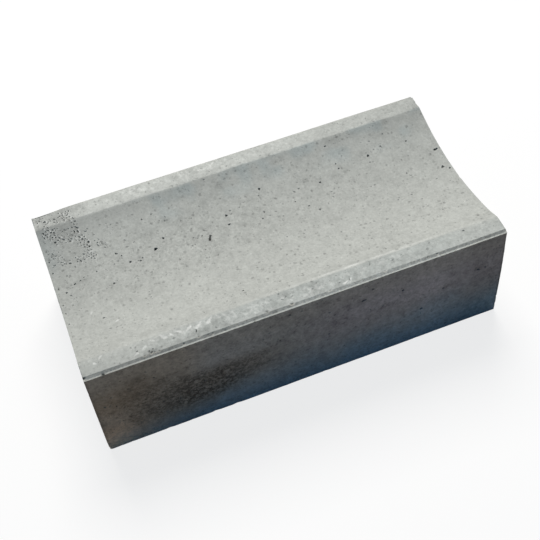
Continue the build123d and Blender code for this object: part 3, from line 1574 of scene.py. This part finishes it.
    def piece(self, surface: Surface) -> bpy.types.Object:
        """Puts the surface into a mesh, with its map, masks and finishes, smooth but for its sharp edges.

        Args:
            surface: the whole surface.

        Returns:
            The object, at the origin.
        """
        used, corners = np.unique(np.concatenate(surface.faces), return_inverse=True)
        points, triangles = surface.points[used], corners.reshape(-1, 3)
        group = np.concatenate(surface.finishes)
        # The void mask is painted shade and dirt in voids and bites; the pale mask is scuffs and painted
        # highlights on void rims
        masks = {"void": surface.dark[used], "pale": surface.pale[used]} | self.masks_of(points)
        mesh = bpy.data.meshes.new("cast_channel")
        mesh.from_pydata(points.tolist(), [], triangles.tolist())
        mesh.validate()
        sheet = mesh.uv_layers.new(name="OFBake")
        sheet.uv.foreach_set("vector", np.concatenate(surface.maps).astype(np.float32).ravel())
        for name, values in masks.items():
            mask = mesh.attributes.new(name, "FLOAT", "POINT")
            mask.data.foreach_set("value", values.astype(np.float32))
        tints = np.stack([FINISHES[finish].tint(points, self.uneven) for finish in Finish])
        tint = mesh.attributes.new("tint", "FLOAT_VECTOR", "CORNER")
        tint.data.foreach_set("vector", tints[group[:, None], triangles].astype(np.float32).ravel())
        for finish in Finish:
            mesh.materials.append(FINISHES[finish].material())
        mesh.polygons.foreach_set("material_index", group.astype(np.int32))
        mesh.polygons.foreach_set("use_smooth", np.ones(len(triangles), bool))
        mesh.set_sharp_from_angle(angle=math.radians(self.sharp_angle))
        mesh.update()
        block = bpy.data.objects.new("cast_channel", mesh)
        bpy.context.scene.collection.objects.link(block)
        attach(block, "root")
        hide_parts(NODE)
        return block


class Kind(Enum):
    """The sorts of socket that a node group has."""

    PLACE = "NodeSocketVector"
    COLOUR = "NodeSocketColor"
    NUMBER = "NodeSocketFloat"


class Wiring:
    """A hand for placing and joining shader nodes in one tree."""

    def __init__(self, tree: bpy.types.NodeTree) -> None:
        """Takes the tree that it works in."""
        self.tree = tree

    def add(self, kind: str, **settings: object) -> bpy.types.Node:
        """Places a node and sets its properties.

        Args:
            kind: the node's type.
            **settings: properties by name.

        Returns:
            The node.
        """
        node = self.tree.nodes.new(kind)
        for name, value in settings.items():
            setattr(node, name, value)
        return node

    def feed(self, socket: Socket, value: object) -> None:
        """Joins a socket to another, or sets it to a plain value.

        Args:
            socket: the input.
            value: an output to join it to, or its value.
        """
        if isinstance(value, bpy.types.NodeSocket):
            self.tree.links.new(value, socket)
        else:
            socket.default_value = value

    def math(self, kind: str, *values: object) -> Socket:
        """Works out one number from others.

        Args:
            kind: the operation.
            *values: its numbers, plain or from other nodes.

        Returns:
            The result.
        """
        node = self.add("ShaderNodeMath", operation=kind)
        for socket, value in zip(node.inputs, values, strict=False):
            self.feed(socket, value)
        return node.outputs[0]

    def between(
        self, value: object, low: float, high: float, to_low: object = 0.0, to_high: object = 1.0
    ) -> Socket:
        """Spreads a value from one range to another by a smooth step, held at both ends.

        Args:
            value: what is spread.
            low: start of its range.
            high: end of its range.
            to_low: the result at the start.
            to_high: the result at the end.

        Returns:
            The result.
        """
        node = self.add("ShaderNodeMapRange", interpolation_type="SMOOTHSTEP")
        for socket, given in zip(node.inputs, (value, low, high, to_low, to_high), strict=False):
            self.feed(socket, given)
        return node.outputs[0]

    def mix(self, share: object, first: object, second: object, kind: str = "MIX") -> Socket:
        """Mixes two colours.

        Args:
            share: how much of the second.
            first: the first colour.
            second: the second.
            kind: how they are mixed.

        Returns:
            The mixed colour.
        """
        node = self.add("ShaderNodeMix", data_type="RGBA", blend_type=kind)
        for index, value in ((0, share), (6, first), (7, second)):
            self.feed(node.inputs[index], value)
        return node.outputs[2]

    def times(self, colour: object, number: Socket) -> Socket:
        """A colour times a number.

        Args:
            colour: the colour.
            number: what each of its parts is multiplied by.

        Returns:
            The product.
        """
        grey = self.add("ShaderNodeCombineColor")
        for socket in grey.inputs:
            self.feed(socket, number)
        return self.mix(1.0, colour, grey.outputs[0], "MULTIPLY")

    def noise(self, place: Socket, pitch: float, detail: float, rough: float = 0.5) -> bpy.types.Node:
        """A cloud of noise about a mean of one half.

        Args:
            place: where it is read.
            pitch: its pitch in metres.
            detail: how many finer layers it has.
            rough: how strong those are.

        Returns:
            The node.
        """
        node = self.add("ShaderNodeTexNoise")
        values = {"Vector": place, "Scale": 1.0 / pitch, "Detail": detail, "Roughness": rough}
        for name, value in values.items():
            self.feed(node.inputs[name], value)
        return node

    def moved(self, place: Socket, way: object, reach: float) -> Socket:
        """A place moved along a way.

        Args:
            place: the place.
            way: a vector or a random colour.
            reach: how far.

        Returns:
            The new place.
        """
        node = self.add("ShaderNodeVectorMath", operation="MULTIPLY_ADD")
        for socket, value in zip(node.inputs, (way, (reach,) * 3, place), strict=False):
            self.feed(socket, value)
        return node.outputs[0]

    def mask(self, name: str) -> Socket:
        """Reads one of the block's own masks."""
        return self.add("ShaderNodeAttribute", attribute_name=name).outputs["Fac"]

    def effect(self, tree: bpy.types.NodeTree, **values: object) -> bpy.types.Node:
        """Places a node group and feeds its inputs.

        Args:
            tree: the group.
            **values: its inputs by name.

        Returns:
            The group's node.
        """
        node = self.add("ShaderNodeGroup", node_tree=tree)
        for name, value in values.items():
            self.feed(node.inputs[name], value)
        return node


@dataclass(frozen=True)
class Effect:
    """A shader node group being made, with its wiring and its two ends."""

    tree: bpy.types.NodeTree
    wire: Wiring
    given: bpy.types.NodeOutputs
    out: bpy.types.NodeInputs

    @staticmethod
    def start(name: str, inputs: dict[str, Kind | float], outputs: dict[str, Kind]) -> "Effect":
        """Starts a group.

        Args:
            name: the group's name.
            inputs: each input's sort, or its value if it is a number.
            outputs: each output's sort.

        Returns:
            The group, ready for wiring.
        """
        tree = bpy.data.node_groups.new(name, "ShaderNodeTree")
        for label, kind in inputs.items():
            sort = kind if isinstance(kind, Kind) else Kind.NUMBER
            socket = tree.interface.new_socket(name=label, in_out="INPUT", socket_type=sort.value)
            if not isinstance(kind, Kind):
                socket.default_value = kind
        for label, kind in outputs.items():
            tree.interface.new_socket(name=label, in_out="OUTPUT", socket_type=kind.value)
        wire = Wiring(tree)
        return Effect(tree, wire, wire.add("NodeGroupInput").outputs, wire.add("NodeGroupOutput").inputs)


def cement_clouds() -> bpy.types.NodeTree:
    """Light and dark drift in the cement, as four sizes of cloud added up, about 0.

    Returns:
        The group, with the drift and the relief that goes with its finer part.
    """
    # Each size's pitch and detail
    sizes = {
        "Wide": (110.0 * MM, 2.0),
        "Middle": (22.0 * MM, 2.0),
        "Fine": (8.0 * MM, 1.0),
        "Grit": (2.8 * MM, 2.0),
    }
    inputs = {"Place": Kind.PLACE} | dict.fromkeys(sizes, 0.1)
    group = Effect.start("Cement clouds", inputs, {"Drift": Kind.NUMBER, "Relief": Kind.NUMBER})
    wire = group.wire
    total, relief = 0.0, 0.0
    for name, (pitch, detail) in sizes.items():
        noise = wire.noise(group.given["Place"], pitch, detail, 0.6)
        cloud = wire.math("SUBTRACT", noise.outputs["Fac"], 0.5)
        total = wire.math("MULTIPLY_ADD", cloud, group.given[name], total)
        if name in ("Fine", "Grit"):
            relief = wire.math("ADD", relief, cloud)
    wire.feed(group.out["Drift"], total)
    wire.feed(group.out["Relief"], relief)
    return group.tree


def flecks() -> bpy.types.NodeTree:
    """Flecks: a ragged dot near the middle of some cells of a random pattern, each with its own strength.

    Returns:
        The group, with the flecks' mask.
    """
    inputs = {"Place": Kind.PLACE, "Pitch": 5.0 * MM, "Share": 0.3, "Size": 0.5}
    group = Effect.start("Flecks", inputs, {"Fleck": Kind.NUMBER})
    wire, given = group.wire, group.given
    rag = wire.noise(given["Place"], 2.2 * MM, 1.0)
    cells = wire.add("ShaderNodeTexVoronoi", feature="F1", voronoi_dimensions="3D")
    wire.feed(cells.inputs["Vector"], wire.moved(given["Place"], rag.outputs["Color"], 3.5 * MM))
    wire.feed(cells.inputs["Scale"], wire.math("DIVIDE", 1.0, given["Pitch"]))
    chance = wire.add("ShaderNodeSeparateColor")
    wire.feed(chance.inputs[0], cells.outputs["Color"])
    chosen = wire.math("LESS_THAN", chance.outputs[0], given["Share"])
    reach = wire.math("MULTIPLY", wire.math("MULTIPLY_ADD", chance.outputs[1], 0.5, 0.5), given["Size"])
    dot = wire.between(wire.math("DIVIDE", cells.outputs["Distance"], reach), 1.0, 0.45)
    strength = wire.math("MULTIPLY", chosen, wire.math("MULTIPLY_ADD", chance.outputs[2], 0.7, 0.3))
    wire.feed(group.out["Fleck"], wire.math("MULTIPLY", dot, strength))
    return group.tree


def weathered_concrete() -> bpy.types.NodeTree:
    """The colour and relief that all finishes share.

    A tint is lifted and lowered by clouds, dark and pale flecks and pinholes, stained and smudged, filmed
    with lime, paled on scuffs and by painted highlights on void rims, and darkened in voids by painted shade
    and dirt.

    Returns:
        The group, made once, with a colour and a height.
    """
    name = "Weathered concrete"
    if name in bpy.data.node_groups:
        return bpy.data.node_groups[name]
    numbers = ("Wide", "Middle", "Fine", "Grit", "Dark", "Light", "Share", "Smudge", "Stain")
    inputs = {"Place": Kind.PLACE, "Tint": Kind.COLOUR, "Lime": Kind.COLOUR} | dict.fromkeys(numbers, 0.1)
    group = Effect.start(name, inputs, {"Colour": Kind.COLOUR, "Height": Kind.NUMBER})
    wire, given = group.wire, group.given
    place, porous, spots = given["Place"], wire.mask("porous"), flecks()
    clouds = wire.effect(cement_clouds(), Place=place, **{label: given[label] for label in numbers[:4]})
    share = wire.math("MULTIPLY_ADD", porous, 0.4, given["Share"])
    dark = wire.effect(spots, Place=place, Pitch=5.2 * MM, Share=share, Size=0.5).outputs[0]
    aside = wire.moved(place, (1.0, 1.0, 1.0), 0.37)
    light = wire.effect(spots, Place=aside, Pitch=4.4 * MM, Share=share, Size=0.42).outputs[0]
    hole = wire.effect(spots, Place=aside, Pitch=2.7 * MM, Share=0.3, Size=0.42).outputs[0]
    smudge = wire.between(wire.noise(place, 10.0 * MM, 3.0, 0.6).outputs["Fac"], 0.55, 0.72)
    loose = wire.math("MAXIMUM", wire.mask("busy"), porous)
    drift = wire.math("MULTIPLY", clouds.outputs["Drift"], wire.between(loose, 0.0, 1.0, 1.0, 1.5))
    loud = wire.between(porous, 0.3, 1.0, 1.0, 2.0)
    lift = wire.math("ADD", drift, 1.0)
    lift = wire.math("MULTIPLY_ADD", wire.math("MULTIPLY", light, loud), given["Light"], lift)
    lift = wire.math("SUBTRACT", lift, wire.math("MULTIPLY", dark, given["Dark"]))
    lift = wire.math("SUBTRACT", lift, wire.math("MULTIPLY", smudge, given["Smudge"]))
    lift = wire.math("MULTIPLY", lift, wire.between(hole, 0.0, 1.0, 1.0, 0.7))
    blots, grains = (wire.noise(place, pitch, 3.0, 0.72).outputs["Fac"] for pitch in (20.0 * MM, 3.6 * MM))
    mottle = wire.between(wire.math("MULTIPLY_ADD", blots, 0.2, grains), 0.435, 0.715, 0.36, 1.0)
    stain = wire.math("MULTIPLY", wire.mask("stain"), mottle)
    stain = wire.math("MULTIPLY", stain, wire.math("SUBTRACT", 1.0, given["Stain"]))
    lift = wire.math("MULTIPLY", lift, wire.math("SUBTRACT", 1.0, stain))
    film = wire.between(wire.noise(place, 7.0 * MM, 3.0, 0.6).outputs["Fac"], 0.45, 0.65)
    # Lime film, pale scuffs and the painted highlights on void rims, all in the lime's colour
    lime = wire.math("MAXIMUM", wire.math("MULTIPLY", wire.mask("bloom"), film), wire.mask("pale"))
    colour = wire.times(wire.mix(lime, given["Tint"], given["Lime"]), lift)
    # Painted shade and dirt in voids and bites
    wire.feed(group.out["Colour"], wire.times(colour, wire.between(wire.mask("void"), 0.0, 0.9, 1.0, 0.2)))
    height = wire.math("MULTIPLY_ADD", clouds.outputs["Relief"], 0.5, wire.math("MULTIPLY", hole, -0.6))
    wire.feed(group.out["Height"], wire.math("SUBTRACT", height, wire.math("MULTIPLY", dark, 0.35)))
    return group.tree


@dataclass(frozen=True)
class ConcreteFinish:
    """One finish of the concrete: its cement, how strong each effect is on it, and its fine relief."""

    name: str
    cement: Colour
    clouds: tuple[float, float, float, float]
    flecks: tuple[float, float]
    share: float = 0.3
    smudge: float = 0.0
    stain: float = 1.0
    # The lime's colour, also worn by painted highlights on void rims and along the top's front lip
    lime: Colour = (0.74, 0.75, 0.72)
    roughness: float = 0.93
    gloss: float = 0.25
    relief: float = 0.4
    relief_height: float = 0.6 * MM

    def tint(self, points: Array, uneven: Unevenness) -> Array:
        """The colour of each point before the fine effects, here the same everywhere."""
        return np.tile(self.cement, (len(points), 1))

    def material(self) -> bpy.types.Material:
        """Builds the finish from the shared effect, with a fine bump.

        Returns:
            The material.
        """
        made = bpy.data.materials.new(self.name)
        made.use_nodes = True
        wire = Wiring(made.node_tree)
        shader = made.node_tree.nodes["Principled BSDF"]
        labels = ("Wide", "Middle", "Fine", "Grit", "Dark", "Light")
        numbers = dict(zip(labels, (*self.clouds, *self.flecks), strict=True))
        concrete = wire.effect(
            weathered_concrete(),
            Place=wire.add("ShaderNodeTexCoord").outputs["Object"],
            Tint=wire.add("ShaderNodeAttribute", attribute_name="tint").outputs["Color"],
            Lime=(*self.lime, 1.0),
            Share=self.share,
            Smudge=self.smudge,
            Stain=self.stain,
            **numbers,
        )
        wire.feed(shader.inputs["Base Color"], concrete.outputs["Colour"])
        shader.inputs["Roughness"].default_value = self.roughness
        shader.inputs["Specular IOR Level"].default_value = self.gloss
        bump = wire.add("ShaderNodeBump")
        bump.inputs["Strength"].default_value = self.relief
        bump.inputs["Distance"].default_value = self.relief_height
        wire.feed(bump.inputs["Height"], concrete.outputs["Height"])
        wire.feed(shader.inputs["Normal"], bump.outputs["Normal"])
        return made


@dataclass(frozen=True)
class PressedTop(ConcreteFinish):
    """The pressed top: the dish, the two rims, a painted highlight along the front one's lip and the dull
    corner.
    """

    rim_front: Colour = (0.455, 0.478, 0.455)
    rim_back: Colour = (0.505, 0.52, 0.492)
    haze: Colour = (0.90, 0.95, 0.98)
    # How strong the painted highlight along the front lip is
    lip_highlight: float = 0.42

    def tint(self, points: Array, uneven: Unevenness) -> Array:
        """Lays the rims' colours over the cement, with a haze and a painted highlight along the front lip,
        then lightens and dulls it, partly with painted light and shade.

        Args:
            points: the mesh's points.
            uneven: the random field.

        Returns:
            A colour for each point.
        """
        x, y, _ = points.T / MM
        drift = uneven.rough(points, 30.0 * MM, 3)
        jag = uneven.rough(points, 9.0 * MM, 2)
        cool = step(-200.0, -50.0, x + 30.0 * drift) * step(240.0, 160.0, x)
        front = np.maximum(
            (0.3 + 0.3 * step(-205.0, -150.0, x)) * step(-94.0, -112.0, y),
            cool * step(-98.8, -101.2, y + 0.8 * jag),
        )
        back = step(98.5, 100.5, y + 0.4 * jag - 1.2 * step(-60.0, 20.0, x))
        # A painted highlight along the front lip, in the lime's colour, strongest right of the middle
        lip_highlight = (self.lip_highlight + 0.25 * jag) * hump(x, 76.0, 85.0) * step(3.0, 0.4, np.abs(y + 97.7))
        # The dull corner of the dish, its bluish edge, and the bluish haze below the back rim
        corner = step(-190.0, -204.0, x + 3.0 * jag) * step(40.0, 56.0, y + 3.0 * jag) * (1.0 - back)
        edge = step(-224.0, -246.0, x) * step(35.0, 60.0, y) * (1.0 - back)
        haze = step(0.0, 0.7, uneven.rough(points + 2.0, 28.0 * MM, 2)) * step(52.0, 84.0, y) * (1.0 - back)
        haze = np.maximum(haze * (1.0 - corner), 0.5 * edge)
        tone = blend(blend(self.cement, self.rim_front, front), self.rim_back, back)
        tone = blend(tone, self.lime, lip_highlight) * blend(WHITE, self.haze, haze)
        return tone * self.level(x, y, back, corner)[:, None]

    @staticmethod
    def level(x: Array, y: Array, back: Array, corner: Array) -> Array:
        """How light each place is, beside the tone: bands along the flow, the ends and the worn corner; some
        bands are painted light and shade that set the dish's shading and soften its creases.

        Args:
            x: places along the flow, in millimetres.
            y: places across it.
            back: 1 on the back rim.
            corner: 1 in the dull corner of the dish.

        Returns:
            What the tone is multiplied by.
        """
        left, right = step(-180.0, -215.0, x), step(165.0, 220.0, x)
        # Painted shade on the slope below the back rim with painted light lower on it, and painted shade on
        # the bottom of the dish and on its strip beside the front rim, setting the dish's shading across the
        # flow
        level = 1.0 - 0.075 * step(62.0, 98.0, y) * (1.0 - back) + 0.04 * hump(y, 76.0, 18.0)
        level -= 0.035 * hump(y, 2.0, 24.0) * step(170.0, 70.0, x) + 0.05 * hump(y, -91.0, 7.0)
        # The front rim: painted light beside the dish at the left and at the right end, softening the
        # crease's shading there; dull beside the bevel
        level += 0.09 * hump(y, -102.5, 2.4) * step(-85.0, -125.0, x)
        level -= 0.05 * step(-112.0, -119.0, y) * step(40.0, -20.0, x)
        level += 0.03 * right * step(-98.0, -103.0, y)
        # The dish's ends and the honeycombed corner
        level -= 0.035 * left + 0.04 * right * step(-5.0, 40.0, y) + 0.05 * left * step(0.0, 45.0, y)
        level -= 0.03 * corner + 0.14 * crumbled(x, y)
        # The back rim
        level -= back * (0.10 * left + 0.05 * step(0.0, 60.0, x) + 0.05 * right)
        # The ledge
        level -= step(-122.4, -123.0, y) * (0.09 * step(-90.0, -235.0, x) + 0.05 * step(150.0, 225.0, x))
        return level


@dataclass(frozen=True)
class BevelStrip(ConcreteFinish):
    """The bevels along the long top edges: the front one painted lighter, as painted light, palest right of
    the middle; the back one plain.
    """

    # The back bevel's share of the lighter cement, which brings it back to a plain tone
    back: float = 0.74

    def tint(self, points: Array, uneven: Unevenness) -> Array:
        """Lightens the cement right of the middle and at the left end, as painted light on the front bevel.

        Args:
            points: the mesh's points.
            uneven: the random field, not used here.

        Returns:
            A colour for each point.
        """
        x = points[:, 0] / MM
        level = 1.0 + 0.55 * hump(x, 74.0, 95.0) + 0.15 * step(-200.0, -235.0, x)
        level = np.where(points[:, 1] < 0.0, level, self.back)
        return np.asarray(self.cement) * level[:, None]


@dataclass(frozen=True)
class MouldSide(ConcreteFinish):
    """A face that the mould shaped: the front one brown and stained at its left, with painted warm light at
    its left end, and painted shade with painted bluish reflected light along its foot.
    """

    # The foot's tint: painted shade with painted bluish reflected light
    foot: Colour = (0.73, 0.97, 1.19)
    warm: Colour = (1.0, 0.91, 0.80)
    brown: Colour = (0.80, 0.73, 0.65)
    head: Colour = (1.0, 0.98, 0.95)
    # Painted warm light at the front face's left end: low down, and along its middle
    left_foot_light: Colour = (2.2, 1.72, 1.33)
    left_end_light: Colour = (1.31, 1.22, 1.14)
    mauve: Colour = (1.012, 0.975, 1.045)
    others: Colour = (0.955, 1.0, 0.975)

    def tint(self, points: Array, uneven: Unevenness) -> Array:
        """Tints the front face by its left end, its foot and its head, and the others' foot a little; the
        foot's tint is painted shade with painted bluish reflected light, and the left end's brightening
        painted warm light.

        Args:
            points: the mesh's points.
            uneven: the random field.

        Returns:
            A colour for each point.
        """
        x, y, z = points.T / MM
        front = step(-121.0, -125.0, y)
        soft = uneven.rough(points, 30.0 * MM, 3)
        # Painted shade with painted bluish reflected light along the foot: on the front face but its left
        # end, stronger at its right end, and a little on the others
        foot = step(80.0, 0.0, z - 10.0 * soft - 0.06 * x)
        foot *= front * step(-215.0, -110.0, x) + 0.3 * (1.0 - front)
        foot *= 1.0 + 0.3 * front * step(170.0, 225.0, x) * step(45.0, 15.0, z)
        left_end = step(-105.0, -150.0, x) * step(8.0, 40.0, z)
        shares = (
            (self.warm, front * np.maximum(left_end, 0.85 * stained(x, z))),
            (self.brown, 0.8 * front * step(-150.0, -210.0, x) * hump(z - 0.25 * (x + 225.0), 95.0, 27.0)),
            (self.head, front * step(105.0, 132.0, z) * step(-150.0, -110.0, x)),
            (self.foot, foot),
            # Painted warm light at the front face's left end
            (self.left_foot_light, front * hump(x, -248.0, 44.0) * step(60.0, 5.0, z)),
            (self.left_end_light, front * hump(x, -222.0, 34.0) * hump(z, 60.0, 34.0)),
            (self.mauve, front * step(-40.0, 60.0, x) * hump(z, 96.0, 38.0)),
            (self.others, 1.0 - front),
        )
        tone = np.tile(self.cement, (len(points), 1))
        for colour, share in shares:
            tone *= blend(WHITE, colour, share)
        return tone * (1.0 - front * (1.0 - self.level(x, z)))[:, None]

    @staticmethod
    def level(x: Array, z: Array) -> Array:
        """How light each place of the front face is, beside its tone.

        Args:
            x: places along the face, in millimetres.
            z: their heights.

        Returns:
            What the tone is multiplied by.
        """
        # The right end, dull but for its foot
        level = 1.0 - step(165.0, 225.0, x) * (0.20 + 0.12 * step(115.0, 75.0, z))
        level += 0.06 * step(180.0, 225.0, x) * step(45.0, 15.0, z)
        # Broad patches right of the middle
        level += (0.11 * hump(x, 124.0, 48.0) - 0.06 * hump(x, 24.0, 26.0)) * hump(z, 110.0, 24.0)
        level -= 0.10 * hump(x, 15.0, 85.0, 4.0) * hump(z, 70.0, 40.0, 4.0)
        # Along the foot
        level += 0.13 * hump(x, 74.0, 24.0) * hump(z, 12.0, 18.0)
        level -= 0.10 * hump(x, 24.0, 24.0) * hump(z, 28.0, 20.0)
        # Painted shade along the worn upright edges
        return level - 0.3 * step(246.0, 249.4, np.abs(x)) * step(0.0, 20.0, z)


FINISHES = {
    Finish.PRESSED_TOP: PressedTop(
        name="pressed_top",
        cement=(0.470, 0.482, 0.453),
        clouds=(0.16, 0.2, 0.26, 0.43),
        flecks=(0.36, 0.12),
        share=0.34,
        stain=0.58,
    ),
    Finish.BEVEL_STRIP: BevelStrip(
        name="bevel_strip",
        # Lighter than the top's cement: painted light on the front bevel's slope
        cement=(0.62, 0.60, 0.535),
        clouds=(0.25, 0.4, 0.5, 0.6),
        flecks=(0.35, 0.1),
    ),
    Finish.MOULD_SIDE: MouldSide(
        name="mould_side",
        cement=(0.395, 0.395, 0.400),
        clouds=(0.25, 0.35, 0.55, 0.95),
        flecks=(0.36, 0.12),
        smudge=0.2,
        stain=0.12,
        relief=0.45,
    ),
    Finish.BED: ConcreteFinish(
        name="bed_face",
        cement=(0.40, 0.40, 0.385),
        clouds=(0.35, 0.5, 0.7, 0.8),
        flecks=(0.35, 0.1),
        smudge=0.2,
        relief=0.6,
    ),
}


@dataclass(frozen=True)
class Studio:
    """The floor, the light and the camera."""

    floor_side: float = 8.0
    floor_bounce: Colour = (0.56, 0.49, 0.405)
    floor_glow: float = 0.8
    glow_reach: tuple[float, float] = (0.6, 2.4)
    sky: Colour = (0.036, 0.085, 0.14)
    lamp_power: float = 186.0
    lamp_side: float = 2.3
    lamp_away: float = 4.0
    lamp_lean: float = 32.0
    lamp_turn: float = 12.0
    lamp_colour: Colour = (1.0, 0.952, 0.893)
    # The camera's place, read from the block's edges in a 540 by 540 frame
    focus_pixels: float = 1011.71
    frame_pixels: float = 540.0
    azimuth: float = -16.6754
    elevation: float = 51.5224
    roll: float = -5.8022
    distance: float = 1.29159
    aside: float = -0.00191
    above: float = 0.03899
    sensor: float = 36.0
    sight: tuple[float, float] = (0.05, 50.0)

    @staticmethod
    def seen(wire: Wiring) -> Socket:
        """Tells what is looked at from light on its way.

        Args:
            wire: the tree's wiring.

        Returns:
            1 for what the camera sees directly, in a reflection or through glass, and 0 for other light.
        """
        path = wire.add("ShaderNodeLightPath")
        either = wire.math("MAXIMUM", path.outputs["Is Camera Ray"], path.outputs["Is Glossy Ray"])
        return wire.math("MAXIMUM", either, path.outputs["Is Transmission Ray"])

    def floor(self) -> None:
        """A wide plain floor: white to the eye but for the shadow, and a plain paving tone to the light."""
        half = self.floor_side / 2.0
        mesh = bpy.data.meshes.new("floor")
        corners = [(-half, -half, 0.0), (half, -half, 0.0), (half, half, 0.0), (-half, half, 0.0)]
        mesh.from_pydata(corners, [], [(0, 1, 2, 3)])
        made = bpy.data.materials.new("pale_floor")
        made.use_nodes = True
        made.node_tree.nodes.clear()
        wire = Wiring(made.node_tree)
        seen = self.seen(wire)
        matt, glow, either = (wire.add(f"ShaderNode{n}") for n in ("BsdfDiffuse", "Emission", "MixShader"))
        wire.feed(matt.inputs["Color"], wire.mix(seen, (*self.floor_bounce, 1.0), (*WHITE, 1.0)))
        away = wire.add("ShaderNodeVectorMath", operation="LENGTH")
        wire.feed(away.inputs[0], wire.add("ShaderNodeTexCoord").outputs["Object"])
        share = wire.between(away.outputs["Value"], *self.glow_reach, self.floor_glow, 1.0)
        wire.feed(either.inputs[0], wire.math("MULTIPLY", seen, share))
        wire.feed(either.inputs[1], matt.outputs[0])
        wire.feed(either.inputs[2], glow.outputs[0])
        wire.feed(wire.add("ShaderNodeOutputMaterial").inputs["Surface"], either.outputs[0])
        mesh.materials.append(made)
        floor = bpy.data.objects.new("floor", mesh)
        bpy.context.scene.collection.objects.link(floor)

    def light(self) -> None:
        """A large soft lamp above and behind the block, with a dim cool sky all round."""
        lamp = bpy.data.lights.new("soft_lamp", "AREA")
        lamp.shape = "SQUARE"
        lamp.size = self.lamp_side
        lamp.energy = self.lamp_power
        lamp.color = self.lamp_colour
        lean, turn = math.radians(self.lamp_lean), math.radians(self.lamp_turn)
        stand = bpy.data.objects.new("soft_lamp", lamp)
        stand.matrix_world = (
            Matrix.Rotation(-turn, 4, "Z")
            @ Matrix.Rotation(-lean, 4, "X")
            @ Matrix.Translation((0.0, 0.0, self.lamp_away))
        )
        bpy.context.scene.collection.objects.link(stand)
        world = bpy.data.worlds.new("sky")
        world.use_nodes = True
        world.node_tree.nodes.clear()
        wire = Wiring(world.node_tree)
        sky = wire.add("ShaderNodeBackground")
        wire.feed(sky.inputs["Color"], wire.mix(self.seen(wire), (*self.sky, 1.0), (*WHITE, 1.0)))
        wire.feed(wire.add("ShaderNodeOutputWorld").inputs["Surface"], sky.outputs[0])
        bpy.context.scene.world = world
        bpy.context.scene.view_settings.view_transform = "Standard"

    def camera(self) -> None:
        """The camera: turned about the middle of the bed, rolled about its own axis and moved aside."""
        lens = bpy.data.cameras.new("camera")
        lens.sensor_width = self.sensor
        lens.lens = self.focus_pixels / self.frame_pixels * self.sensor
        lens.clip_start, lens.clip_end = self.sight
        eye = bpy.data.objects.new("camera", lens)
        eye.matrix_world = (
            Matrix.Rotation(math.radians(self.azimuth), 4, "Z")
            @ Matrix.Rotation(math.radians(90.0 - self.elevation), 4, "X")
            @ Matrix.Rotation(math.radians(self.roll), 4, "Z")
            @ Matrix.Translation((self.aside, self.above, self.distance))
        )
        bpy.context.scene.collection.objects.link(eye)
        bpy.context.scene.camera = eye


def main() -> None:
    """Builds the block and its studio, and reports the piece."""
    logging.basicConfig(level=logging.INFO, format="%(name)s: %(message)s")
    low, high = (np.array(corner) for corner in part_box(NODE))
    block = ChannelBlock(low, high).build()
    LOG.info("%s: %d points, %d faces", block.name, len(block.data.vertices), len(block.data.polygons))
    studio = Studio()
    studio.floor()
    studio.light()
    studio.camera()
    bpy.context.view_layer.update()


if __name__ == "__main__":
    main()
